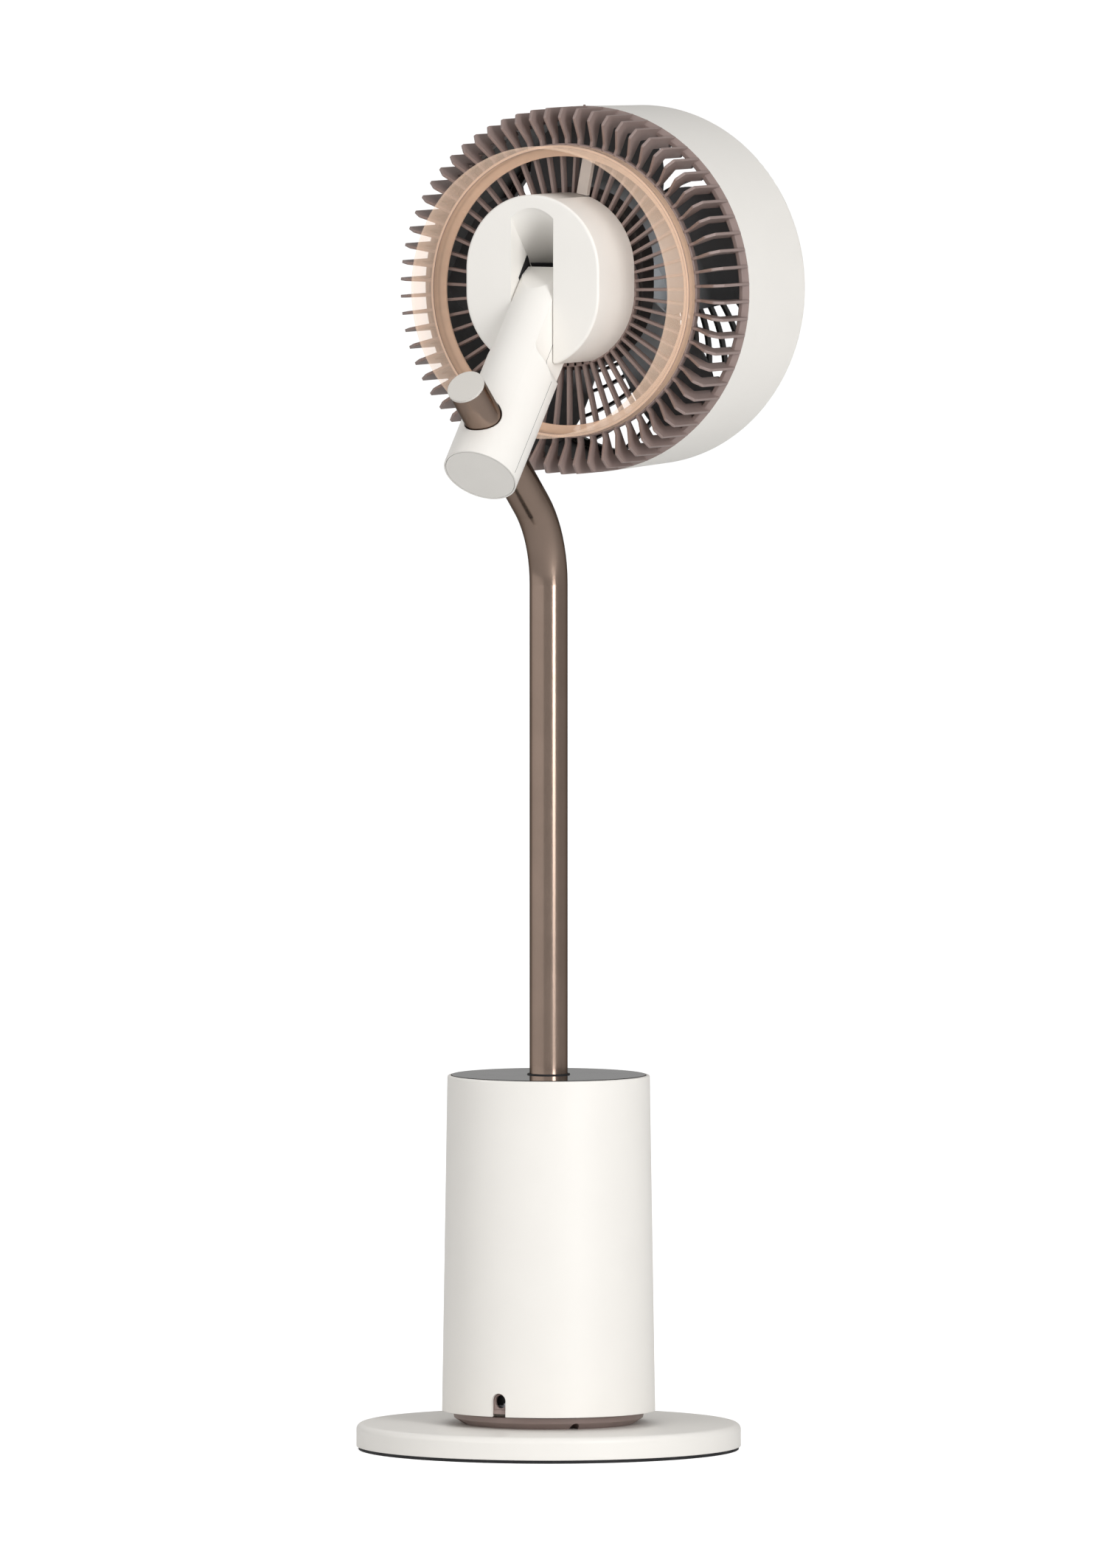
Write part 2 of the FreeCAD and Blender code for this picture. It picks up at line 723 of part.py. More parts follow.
def build_pole_seat():
    """The bell that spans the yaw gear and holds the pole, with the yaw motor and the power board."""
    bore = dim.pole_radius + dim.seat_gap
    socket_radius = dim.pole_radius + dim.socket_wall
    socket_top = deck_top + dim.socket_height
    flange_top = chassis_top + dim.bell_wall
    bell_inside = bell_radius - dim.bell_wall
    bell = turned([
        (bell_inside, chassis_top), (bell_flange_radius, chassis_top), (bell_flange_radius, flange_top),
        (bell_radius, flange_top), (bell_radius, deck_top), (socket_radius, deck_top),
        (socket_radius, socket_top), (bore, socket_top), (bore, deck_top),
        (wire_hole_radius, deck_top), (wire_hole_radius, deck_bottom), (bell_inside, deck_bottom),
    ])
    post_across = dim.board_length / 2 - dim.board_post_radius
    post_along = dim.board_width / 2 - dim.board_post_radius
    posts = []
    for side in (-1, 1):
        for end in (-1, 1):
            posts.append(cylinder(
                dim.board_post_radius, dim.board_post_height + dim.bell_wall / 2,
                post_across * side, post_along * end - dim.board_setback, deck_top - dim.bell_wall / 2))
    shaft_hole = cylinder(
        dim.pinion_shaft_radius + dim.fit_gap, dim.bell_wall, pinion_offset, 0, deck_bottom)
    bell_screw_ring = bell_flange_radius - dim.screw_head_radius
    flange_bores = hole_ring(bell_screw_ring, screw_hole_radius, chassis_top, dim.bell_wall, 0)
    keep("pole_base", cut(fuse(bell, *posts), shaft_hole, flange_bores))
    screw_ring(
        "pole_base_screws", bell_screw_ring, flange_top, -UP, dim.bell_wall + dim.chassis_thickness, 0)

    clamp_inside = socket_radius + dim.seat_gap
    clamp_bottom = socket_top - dim.clamp_height
    collar = ring(clamp_inside, clamp_inside + dim.clamp_wall, clamp_bottom, dim.clamp_height)
    slit = box(
        dim.clamp_slit, dim.clamp_wall * 2, dim.clamp_height, -dim.clamp_slit / 2,
        -clamp_inside - dim.clamp_wall * 3 / 2, clamp_bottom)
    keep("pole_clamp", cut(collar, slit))

    can = cylinder(dim.yaw_motor_radius, dim.yaw_motor_height, pinion_offset, 0, deck_top)
    can_bore = cylinder(
        dim.pinion_shaft_radius + dim.running_gap, dim.pinion_shaft_grip + dim.fit_gap,
        pinion_offset, 0, deck_top)
    keep("yaw_motor", cut(can, can_bore))

    board_bottom = deck_top + dim.board_post_height
    board_top = board_bottom + dim.board_thickness
    board = box(
        dim.board_length, dim.board_width, dim.board_thickness,
        -dim.board_length / 2, -dim.board_setback - dim.board_width / 2, board_bottom)
    side = dim.transformer_side
    transformer = box(side, side, side, -dim.board_length / 2 + dim.board_post_radius,
                      -dim.board_setback - side / 2, board_top)
    capacitor = cylinder(side / 4, side, dim.board_length / 4, -dim.board_setback, board_top)
    keep("power_board", fuse(board, transformer, capacitor))


def build_top_panel():
    """The glass touch panel with its gasket, its touch board and the grommet round the pole."""
    rim_inside = column_top_radius - dim.panel_rim
    glass_top = column_top + dim.panel_proud
    glass_bottom = glass_top - dim.panel_thickness
    glass_radius = rim_inside - dim.panel_gap
    gasket_height = dim.gasket_thickness + dim.panel_proud
    gasket_bottom = glass_bottom - gasket_height
    keep("panel_gasket", ring(
        rim_inside - dim.ledge_width, rim_inside - dim.seat_gap, gasket_bottom, gasket_height))
    keep("top_panel", ring(panel_hole_radius, glass_radius, glass_bottom, dim.panel_thickness))
    board_bottom = glass_bottom - dim.board_thickness
    keep("touch_board", ring(
        touch_board_hole_radius, touch_board_radius, board_bottom, dim.board_thickness))
    grommet_inside = dim.pole_radius + dim.seat_gap * 2
    grommet_outside = grommet_inside + dim.grommet_wall
    flange_bottom = glass_bottom - dim.grommet_flange_thickness
    grommet_top = glass_top + dim.grommet_proud
    keep("pole_grommet", turned([
        (grommet_inside, flange_bottom), (grommet_flange_radius, flange_bottom),
        (grommet_flange_radius, glass_bottom), (grommet_outside, glass_bottom),
        (grommet_outside, grommet_top), (grommet_inside, grommet_top),
    ]))


# Places on the bent pole and along the arm
bend = dim.pole_bend_angle
arm_reach = dim.arm_crossing * tangent(bend)
arm_pivot = dim.arm_tail + arm_reach
pivot_height = dim.pole_corner_height + dim.arm_crossing / cosine(bend)
fan_height = pivot_height + dim.fan_axis_rise
arm_tail_rear = dim.arm_crossing * sine(bend) + dim.arm_tail * cosine(bend)
arm_tail_height = dim.pole_corner_height + dim.arm_crossing * cosine(bend) - dim.arm_tail * sine(bend)
ARM_PLACE = FreeCAD.Placement(
    vector(0, arm_tail_rear, arm_tail_height), FreeCAD.Rotation(ACROSS, 90 - float(bend)))
tongue_half = dim.arm_tongue_width / 2


def build_pole():
    """The bent tube from the deck up through the arm, and the cap in its end."""
    tangent_length = dim.pole_bend_radius * tangent(bend / 2)
    upright = dim.pole_corner_height - deck_top - tangent_length
    end_length = dim.pole_end_length - dim.pole_cap_thickness
    end_rear = end_length * sine(bend)
    end_height = dim.pole_corner_height - deck_top + end_length * cosine(bend)

    body = doc.addObject("PartDesign::Body", "pole_body")
    route = body.newObject("Sketcher::SketchObject", "route")
    route.AttachmentSupport = [(origin_plane(body, "YZ_Plane"), "")]
    route.MapMode = "FlatFace"
    radius = float(dim.pole_bend_radius)
    turn = math.radians(float(bend))
    centre = vector(radius, upright, 0)
    bend_end = centre + FreeCAD.Vector(-radius * math.cos(turn), radius * math.sin(turn), 0)
    upright_line = route.addGeometry(Part.LineSegment(CENTRE, vector(0, upright, 0)), False)
    curve = Part.ArcOfCircle(Part.Circle(centre, UP, radius), math.pi - turn, math.pi)
    arc = route.addGeometry(curve, False)
    end_line = route.addGeometry(Part.LineSegment(bend_end, vector(end_rear, end_height, 0)), False)
    route.addConstraint(Sketcher.Constraint("Coincident", upright_line, 1, -1, 1))
    route.addConstraint(Sketcher.Constraint("Vertical", upright_line))
    route.addConstraint(Sketcher.Constraint("Tangent", upright_line, 2, arc, 2))
    route.addConstraint(Sketcher.Constraint("Tangent", arc, 1, end_line, 1))
    for rule, value in (
        (Sketcher.Constraint("DistanceY", -1, 1, upright_line, 2, float(upright)), upright),
        (Sketcher.Constraint("Radius", arc, radius), dim.pole_bend_radius),
        (Sketcher.Constraint("DistanceX", -1, 1, end_line, 2, float(end_rear)), end_rear),
        (Sketcher.Constraint("DistanceY", -1, 1, end_line, 2, float(end_height)), end_height),
    ):
        route.setExpression(f"Constraints[{route.addConstraint(rule)}]", value.formula)

    section = body.newObject("Sketcher::SketchObject", "section")
    section.AttachmentSupport = [(origin_plane(body, "XY_Plane"), "")]
    section.MapMode = "FlatFace"
    for circle_radius in (dim.pole_radius, dim.pole_radius - dim.pole_wall):
        circle = section.addGeometry(Part.Circle(CENTRE, UP, float(circle_radius)), False)
        section.addConstraint(Sketcher.Constraint("Coincident", circle, 3, -1, 1))
        rule = section.addConstraint(Sketcher.Constraint("Radius", circle, float(circle_radius)))
        section.setExpression(f"Constraints[{rule}]", circle_radius.formula)
    pipe = body.newObject("PartDesign::AdditivePipe", "pipe")
    pipe.Profile = section
    pipe.Spine = route
    keep("pole", place(body, 0, 0, deck_top))

    plug_radius = dim.pole_radius - dim.pole_wall - dim.seat_gap
    plug_length = dim.pole_cap_thickness + dim.pole_cap_plug
    cap = turned([
        (0, -plug_length), (plug_radius, -plug_length), (plug_radius, -dim.pole_cap_thickness),
        (dim.pole_radius, -dim.pole_cap_thickness), (dim.pole_radius, 0), (0, 0),
    ])
    cap_rear = dim.pole_end_length * sine(bend)
    cap_height = dim.pole_corner_height + dim.pole_end_length * cosine(bend)
    keep("pole_end_cap", place(cap, 0, cap_rear, cap_height, -ACROSS, bend))


def arm_solid(inset):
    """The arm's outer form drawn in by an inset: a round bar with a flat-sided tongue, which ends in a
    flat facet at the rear and a round end at the front."""
    radius = float(dim.arm_radius) - inset
    half = float(tongue_half) - inset
    pivot = float(arm_pivot)
    tip = pivot + radius
    bar = Part.makeCylinder(radius, tip)

    def on_end(angle):
        """Point on the round end, at an angle from the arm's own direction towards the rear."""
        turn = math.radians(angle)
        return vector(-radius, radius * math.sin(turn), pivot + radius * math.cos(turn))

    facet_start = vector(-radius, radius, pivot - float(dim.arm_facet_drop))
    facet_angle = 90 - float(bend)
    side_edges = [
        Part.LineSegment(vector(-radius, -radius, 0), vector(-radius, radius, 0)),
        Part.LineSegment(vector(-radius, radius, 0), facet_start),
        Part.LineSegment(facet_start, on_end(facet_angle)),
        Part.Arc(on_end(facet_angle), on_end((facet_angle - 90) / 2), on_end(-90)),
        Part.LineSegment(on_end(-90), vector(-radius, -radius, 0)),
    ]
    side_wire = Part.Wire([edge.toShape() for edge in side_edges])
    side = Part.Face(side_wire).extrude(ACROSS * (2 * radius))

    low = float(dim.arm_tail + dim.arm_shoulder_start)
    high = low + float(dim.arm_shoulder_length)
    step = radius - half
    curve = (step ** 2 + (high - low) ** 2) / (4 * step)
    sweep = math.asin((high - low) / 2 / curve)
    lean = curve * (1 - math.cos(sweep / 2))
    climb = curve * math.sin(sweep / 2)
    middle_out = (radius + half) / 2
    middle_up = (low + high) / 2

    def shoulder(sign):
        """The S-shaped shoulder on one side, from the bar up to the tongue."""
        def at(out, up):
            return vector(sign * out, -radius, up)
        first = Part.Arc(at(radius, low), at(radius - lean, low + climb), at(middle_out, middle_up))
        second = Part.Arc(at(middle_out, middle_up), at(half + lean, high - climb), at(half, high))
        return [
            Part.LineSegment(at(radius, 0), at(radius, low)), first, second,
            Part.LineSegment(at(half, high), at(half, tip)),
        ]

    front_edges = shoulder(1) + shoulder(-1) + [
        Part.LineSegment(vector(half, -radius, tip), vector(-half, -radius, tip)),
        Part.LineSegment(vector(-radius, -radius, 0), vector(radius, -radius, 0)),
    ]
    sorted_edges = Part.__sortEdges__([edge.toShape() for edge in front_edges])
    front = Part.Face(Part.Wire(sorted_edges)).extrude(REARWARD * (2 * radius))
    return bar.common(side).common(front)


def rod(radius, length, centre, axis):
    """A cylinder of a given length centred on a point."""
    start = centre - axis * (float(length) / 2)
    return Part.makeCylinder(float(radius), float(length), start, axis)


def build_arm():
    """Two half shells round a cast core, which clamps the pole and carries the tilt axle."""
    crossing = vector(0, 0, dim.arm_tail)
    pivot = vector(0, 0, arm_pivot)
    span = dim.arm_radius * 3
    hollow = arm_solid(float(dim.arm_wall))
    pole_hole = rod(dim.pole_radius + dim.arm_hole_gap, span, crossing, REARWARD)
    axle_hole = rod(dim.axle_radius + dim.fit_gap, span, pivot, ACROSS)
    cap_seat = Part.makeCylinder(float(dim.arm_radius - dim.arm_cap_rim), float(dim.arm_cap_thickness))
    casing = arm_solid(0).cut(hollow).cut(pole_hole).cut(axle_hole).cut(cap_seat)
    reach = float(span + arm_pivot)
    half_space = Part.makeBox(reach, reach, reach, vector(-reach / 2, 0, -reach / 4))
    keep_shape("arm_rear_shell", casing.common(half_space)).Placement = ARM_PLACE
    keep_shape("arm_front_shell", casing.cut(half_space)).Placement = ARM_PLACE

    core_radius = float(dim.arm_radius - dim.arm_wall - dim.fit_gap)
    core_bottom = dim.arm_tail - dim.arm_core_tail
    core_top = dim.arm_tail + dim.arm_core_head
    block = Part.makeCylinder(core_radius, float(core_top - core_bottom), vector(0, 0, core_bottom))
    bar_width = dim.arm_tongue_width - (dim.arm_wall + dim.fit_gap) * 2
    bar_depth = dim.arm_bar_depth
    bar = Part.makeBox(
        float(bar_width), float(bar_depth), float(arm_pivot - dim.arm_tail),
        vector(-bar_width / 2, -bar_depth / 2, dim.arm_tail))
    eye = rod(dim.arm_eye_radius, bar_width, pivot, ACROSS)
    pole_bore = rod(dim.pole_radius + dim.seat_gap, span, crossing, REARWARD)
    axle_bore = rod(dim.axle_radius + dim.seat_gap, span, pivot, ACROSS)
    core = block.multiFuse([bar, eye]).removeSplitter().cut(pole_bore).cut(axle_bore)
    keep_shape("arm_core", core).Placement = ARM_PLACE

    cap_radius = dim.arm_radius - dim.arm_cap_rim - dim.fit_gap
    plug_radius = dim.arm_radius - dim.arm_wall - dim.fit_gap
    plug_top = dim.arm_cap_thickness + dim.arm_cap_plug
    cap = turned([
        (0, 0), (cap_radius, 0), (cap_radius, dim.arm_cap_thickness), (plug_radius, dim.arm_cap_thickness),
        (plug_radius, plug_top), (0, plug_top),
    ])
    keep("arm_end_cap", place(cap, 0, arm_tail_rear, arm_tail_height, ACROSS, 90 - bend))


# Places across the tilt axle
slot_width = dim.arm_tongue_width + dim.slot_side_gap * 2
cheek_inside = slot_width / 2 + dim.slot_liner
cheek_outside = cheek_inside + dim.cheek_thickness
washer_start = cheek_outside + dim.fit_gap
nut_start = washer_start + dim.washer_thickness
axle_end = nut_start + dim.axle_nut_height


def build_tilt_axle():
    """The axle held by the arm's core, with a friction washer and a nut beyond each cheek of the head."""
    axle = cylinder(dim.axle_radius, axle_end * 2, -axle_end, 0, pivot_height, REARWARD, 90)
    keep("tilt_axle", axle)
    washers = []
    nuts = []
    bore = float(dim.axle_radius + dim.seat_gap)
    across_corners = float(dim.axle_nut_radius)
    for side in (-1, 1):
        outward = ACROSS * side
        washer_place = vector(washer_start * side, 0, pivot_height)
        thickness = float(dim.washer_thickness)
        disc = Part.makeCylinder(float(dim.washer_radius), thickness, washer_place, outward)
        washers.append(disc.cut(Part.makeCylinder(bore, thickness, washer_place, outward)))
        corners = []
        for angle in ring_angles(NUT_SIDES):
            turn = math.radians(angle)
            corners.append(vector(nut_start * side, across_corners * math.cos(turn),
                                  pivot_height + across_corners * math.sin(turn)))
        height = float(dim.axle_nut_height)
        blank = Part.Face(Part.makePolygon(corners + corners[:1])).extrude(outward * height)
        nut_place = vector(nut_start * side, 0, pivot_height)
        nuts.append(blank.cut(Part.makeCylinder(bore, height, nut_place, outward)))
    keep_shape("friction_washers", Part.makeCompound(washers))
    keep_shape("axle_nuts", Part.makeCompound(nuts))


# Depths along the fan axis, from the rear face of the hub
grille_rear = dim.hub_depth
grille_front = grille_rear + dim.spoke_depth
plate_front = grille_front + dim.hub_plate_thickness
accent_front = grille_rear - dim.accent_setback
tube_front = plate_front + dim.bearing_tube_length
stator_rear = plate_front + dim.stator_standoff
bell_rear = stator_rear - dim.bell_gap
bell_front = tube_front + dim.bell_gap
blade_rear = bell_front + dim.rotor_wall
blade_front = blade_rear + dim.blade_hub_depth - dim.rotor_wall
drum_rear = grille_front + dim.skirt_depth
drum_front = drum_rear + dim.drum_depth
front_grille_front = drum_front - dim.drum_wall
front_grille_rear = front_grille_front - dim.spiral_depth
HEAD_PLACE = FreeCAD.Placement(vector(0, dim.hub_rear, fan_height), FreeCAD.Rotation(ACROSS, 90))
slot_reach = dim.arm_radius + dim.slot_clearance

# Radii of the head, from the hub out and from the accent ring out
hub_plate_radius = dim.hub_radius + dim.hub_plate_overhang
plate_screw_ring_radius = hub_plate_radius - dim.plate_screw_inset
hub_ring_inner_radius = hub_plate_radius - dim.hub_ring_width
cover_radius = hub_plate_radius + dim.cover_overhang
accent_lip_radius = dim.accent_radius - dim.accent_lip_width
rib_crest_radius = dim.accent_radius + dim.rib_crest_reach
drum_radius = rib_crest_radius + dim.skirt_reach
drum_front_radius = drum_radius - dim.drum_taper
drum_lip_radius = drum_front_radius - dim.drum_lip_width
grille_ring_radius = drum_radius - dim.drum_wall - dim.fit_gap
blade_tip_radius = grille_ring_radius - dim.grille_ring_width - dim.blade_tip_gap


def keep_in_head(label, item):
    """Name a piece that was drawn in the head's frame and put it in its place."""
    return keep(label, place(item, 0, dim.hub_rear, fan_height, ACROSS, 90))


def keep_shape_in_head(label, shape):
    """The same for a ready shape."""
    keep_shape(label, shape).Placement = HEAD_PLACE * shape.Placement


def stadium(inset, rear, front):
    """An upright stadium form, the hub's drawn in by an inset, between two depths."""
    radius = float(dim.hub_radius) - float(inset)
    high = float(dim.hub_stretch)
    level = float(rear)
    edges = [
        Part.Arc(vector(-radius, 0, level), vector(0, -radius, level), vector(radius, 0, level)),
        Part.LineSegment(vector(radius, 0, level), vector(radius, high, level)),
        Part.Arc(
            vector(radius, high, level), vector(0, high + radius, level), vector(-radius, high, level)),
        Part.LineSegment(vector(-radius, high, level), vector(-radius, 0, level)),
    ]
    face = Part.Face(Part.Wire([edge.toShape() for edge in edges]))
    return face.extrude(UP * (float(front) - level))


def hub_form(inset, rear, front):
    """The stadium with its underside cut flat, drawn in by an inset."""
    floor = float(dim.hub_radius) - float(dim.hub_flat) - float(inset)
    far = float(dim.hub_radius) * 3
    room = Part.makeBox(2 * far, 2 * far, 2 * far, vector(-far, -floor, -far))
    return stadium(inset, rear, front).common(room)


def ray(angle):
    """Unit direction in the mirror plane: 0 degrees is forwards and 90 degrees is up."""
    turn = math.radians(angle)
    return FreeCAD.Vector(0, math.sin(turn), math.cos(turn))


def slab_through(corners, far):
    """A flat outline in the mirror plane, made thick by the same distance to both sides."""
    points = [corner - ACROSS * far for corner in corners]
    return Part.Face(Part.makePolygon(points + points[:1])).extrude(ACROSS * (2 * far))


def arm_slot(grow):
    """The room that the arm needs in the hub over the whole tilt, widened all round by grow."""
    pivot = vector(0, -dim.fan_axis_rise, dim.hub_rear)
    far = float(dim.hub_radius) * 3
    half = float(slot_width) / 2 + grow
    reach = float(slot_reach) + grow
    arm_angle = 180 + float(bend)
    raised = arm_angle - float(dim.tilt_up_limit) - float(dim.tilt_spare)
    lowered = arm_angle + float(dim.tilt_down_limit)

    eye = rod(reach, 2 * far, pivot, ACROSS)
    wedge = slab_through([
        pivot, pivot + ray(raised) * far, pivot + ray(180) * (2 * far), pivot + ray(lowered) * far], far)
    edge = ray(lowered + 90) * reach
    along = ray(lowered) * far
    front_wall = slab_through([pivot - edge, pivot + edge, pivot + edge + along, pivot - edge + along], far)
    half_width = float(slot_width) / 2
    arch_rise = float(dim.slot_arch_rise)
    arch_radius = (half_width ** 2 + arch_rise ** 2) / (2 * arch_rise)
    arch_start = pivot + ray(raised - 90) * (float(slot_reach) - arch_radius)
    ramp = Part.makeCylinder(arch_radius + grow, far, arch_start, ray(raised))
    slab = Part.makeBox(2 * half, 4 * far, 4 * far, vector(-half, -2 * far, -2 * far))
    return eye.multiFuse([wedge, front_wall, ramp]).common(slab)


def build_hub():
    """The hub casing with the arm's slot, the steel cheeks that carry the head, and the motor plate."""
    casing = hub_form(0, 0, dim.hub_depth)
    rear_edges = [edge for edge in casing.Edges if edge.BoundBox.ZMax < float(dim.hub_wall)]
    casing = casing.makeFillet(float(dim.hub_edge_round), rear_edges)
    cavity = hub_form(dim.hub_wall, dim.hub_wall, dim.hub_depth).cut(arm_slot(float(dim.slot_liner)))
    pivot = vector(0, -dim.fan_axis_rise, dim.hub_rear)
    axle_hole = rod(dim.axle_radius + dim.fit_gap, cheek_outside * 2, pivot, ACROSS)
    keep_shape_in_head("hub_housing", casing.cut(cavity).cut(arm_slot(0)).cut(axle_hole))

    width = dim.cheek_radius * 2
    foot_rear = grille_front - dim.cheek_thickness
    for label, side in (("tilt_cheek_left", -1), ("tilt_cheek_right", 1)):
        start = pivot + ACROSS * (side * float(cheek_inside))
        outward = ACROSS * side
        eye = Part.makeCylinder(float(dim.cheek_radius), float(dim.cheek_thickness), start, outward)
        plate_length = float(grille_front - dim.hub_rear)
        corner_x = cheek_inside if side > 0 else -cheek_outside
        plate = Part.makeBox(
            float(dim.cheek_thickness), float(width), plate_length,
            vector(corner_x, -dim.fan_axis_rise - dim.cheek_radius, dim.hub_rear))
        foot_length = dim.cheek_foot + dim.cheek_thickness
        foot_x = cheek_inside if side > 0 else -cheek_inside - foot_length
        foot = Part.makeBox(
            float(foot_length), float(width), float(dim.cheek_thickness),
            vector(foot_x, -dim.fan_axis_rise - dim.cheek_radius, foot_rear))
        bore = rod(dim.axle_radius + dim.running_gap, axle_end * 2, pivot, ACROSS)
        keep_shape_in_head(label, eye.multiFuse([plate, foot]).removeSplitter().cut(bore))

    tube_bore = dim.bearing_radius + dim.seat_gap
    plate = turned([
        (tube_bore, grille_front), (hub_plate_radius, grille_front), (hub_plate_radius, plate_front),
        (dim.bearing_tube_radius, plate_front), (dim.bearing_tube_radius, tube_front),
        (tube_bore, tube_front),
    ])
    bores = hole_ring(
        plate_screw_ring_radius, screw_hole_radius, grille_front, dim.hub_plate_thickness, DIAGONAL)
    keep_in_head("motor_plate", cut(plate, bores))
    screw_ring("plate_screws", plate_screw_ring_radius, plate_front, -UP, dim.screw_grip, DIAGONAL)
    pieces["plate_screws"].Placement = HEAD_PLACE


def smooth_curve(points):
    """A smooth edge through points."""
    curve = Part.BSplineCurve()
    curve.interpolate(points)
    return curve.toShape()


def rounded_outline(corners):
    """Edges of a closed outline through corners (point, bend radius); a radius of 0 leaves a corner sharp."""
    edges = []
    ends = []
    for index, (point, radius) in enumerate(corners):
        back = (corners[index - 1][0] - point).normalize()
        onward = (corners[(index + 1) % len(corners)][0] - point).normalize()
        half_angle = back.getAngle(onward) / 2
        shortening = radius / math.tan(half_angle)
        ends.append((point + back * shortening, point + onward * shortening))
        if radius:
            middle = point + (back + onward).normalize() * (radius / math.sin(half_angle) - radius)
            edges.append(Part.Arc(ends[-1][0], middle, ends[-1][1]).toShape())
    for here, after in zip(ends, ends[1:] + ends[:1]):
        edges.append(Part.LineSegment(here[1], after[0]).toShape())
    return edges


def rib_shape():
    """One rib of the rear grille: a shelf beside the accent ring, a slope up to the crest and a skirt."""
    half = float(dim.rib_thickness) / 2
    shelf = float(dim.accent_radius)
    ring_inner = shelf - float(dim.mid_ring_width)
    outer = float(drum_radius)
    inner = outer - float(dim.rib_depth)
    rear = float(accent_front)
    front = float(grille_front - dim.rib_setback)
    crest = rear - float(dim.rib_crest_rise)
    skirt_end = float(drum_rear)
    corner_round = float(dim.rib_corner_round)

    def at(radius, level):
        return vector(radius, -half, level)

    edges = rounded_outline([
        (at(ring_inner, rear), 0), (at(shelf + float(dim.rib_shelf), rear), float(dim.rib_bend)),
        (at(rib_crest_radius, crest), corner_round),
        (at(outer, crest + float(dim.rib_corner_drop)), corner_round),
        (at(outer, skirt_end), 0), (at(inner, skirt_end), 0), (at(inner, front), 0), (at(ring_inner, front), 0),
    ])
    wire = Part.Wire(Part.__sortEdges__(edges))
    return Part.Face(wire).extrude(REARWARD * float(dim.rib_thickness))


def spoke_shape():
    """One straight spoke, from the ring behind the hub out to the ring under the accent ring."""
    start = float(hub_plate_radius - dim.mid_ring_width)
    length = float(dim.accent_radius - dim.mid_ring_width / 2) - start
    return Part.makeBox(
        length, float(dim.spoke_thickness), float(dim.spoke_depth),
        vector(start, -dim.spoke_thickness / 2, grille_rear))


def tube(inner, outer, rear, depth):
    """A plain ring as a ready shape, in the head's frame."""
    place_at = vector(0, 0, rear)
    blank = Part.makeCylinder(float(outer), float(depth), place_at)
    return blank.cut(Part.makeCylinder(float(inner), float(depth), place_at))


def spread(shape, count, first=0):
    """Copies of a shape round the fan axis."""
    copies = []
    for angle in ring_angles(count, first):
        copy = shape.copy()
        copy.rotate(CENTRE, UP, angle)
        copies.append(copy)
    return copies


def build_rear_grille():
    """The ribbed rear grille with its rings and its tab, the accent ring on it and the flat cable duct."""
    ribs = spread(rib_shape(), whole(dim.rib_count), 90)
    spokes = spread(spoke_shape(), whole(dim.spoke_count), -90)
    hub_ring = tube(hub_ring_inner_radius, hub_plate_radius, grille_rear, dim.spoke_depth)
    mid_ring = tube(dim.accent_radius - dim.mid_ring_width, dim.accent_radius + dim.mid_ring_width / 3,
                    accent_front, dim.mid_ring_depth)
    flange_rear = drum_rear - dim.grille_flange_depth
    ring_inner = grille_ring_radius - dim.grille_ring_width
    flange = tube(ring_inner, drum_radius, flange_rear, dim.grille_flange_depth)
    seat_ring = tube(ring_inner, grille_ring_radius, flange_rear,
                     dim.grille_flange_depth + dim.grille_ring_depth / 2)
    tab_root = dim.drum_wall / 2
    tab = Part.makeBox(
        float(dim.tab_width), float(dim.tab_height + tab_root), float(dim.tab_length),
        vector(-dim.tab_width / 2, drum_radius - tab_root, drum_rear - dim.tab_setback))
    screw_bores = []
    for angle in ring_angles(whole(dim.screw_count), DIAGONAL):
        bore_start = FreeCAD.Rotation(UP, angle).multVec(vector(plate_screw_ring_radius, 0, grille_rear))
        screw_bores.append(Part.makeCylinder(float(screw_hole_radius), float(dim.spoke_depth), bore_start))
    grille = hub_ring.multiFuse(ribs + spokes + [mid_ring, flange, seat_ring, tab])
    keep_shape_in_head("rear_grille", grille.cut(screw_bores))

    wall_radius = dim.accent_radius - dim.accent_wall
    lip_rear = accent_front - dim.accent_wall
    keep_in_head("accent_ring", turned([
        (wall_radius, dim.accent_rear), (dim.accent_radius, dim.accent_rear),
        (dim.accent_radius, accent_front),
        (accent_lip_radius, accent_front), (accent_lip_radius, lip_rear),
        (wall_radius, lip_rear, dim.accent_lip_round),
    ]))

    pitch = FULL_TURN / float(dim.rib_count)
    lean = 90 + pitch * float(dim.duct_pitches)
    upper_centre = float(dim.hub_stretch)
    along = upper_centre * math.sin(math.radians(lean))
    aside = upper_centre * math.cos(math.radians(lean))
    duct_start = along + math.sqrt(float(dim.hub_radius) ** 2 - aside ** 2) + float(dim.fit_gap)
    duct_length = float(accent_lip_radius - dim.fit_gap) - duct_start
    duct = Part.makeBox(
        duct_length, float(dim.duct_width), float(dim.duct_depth),
        vector(duct_start, -dim.duct_width / 2, grille_rear - dim.duct_depth))
    duct.rotate(CENTRE, UP, lean)
    keep_shape_in_head("cable_duct", duct)


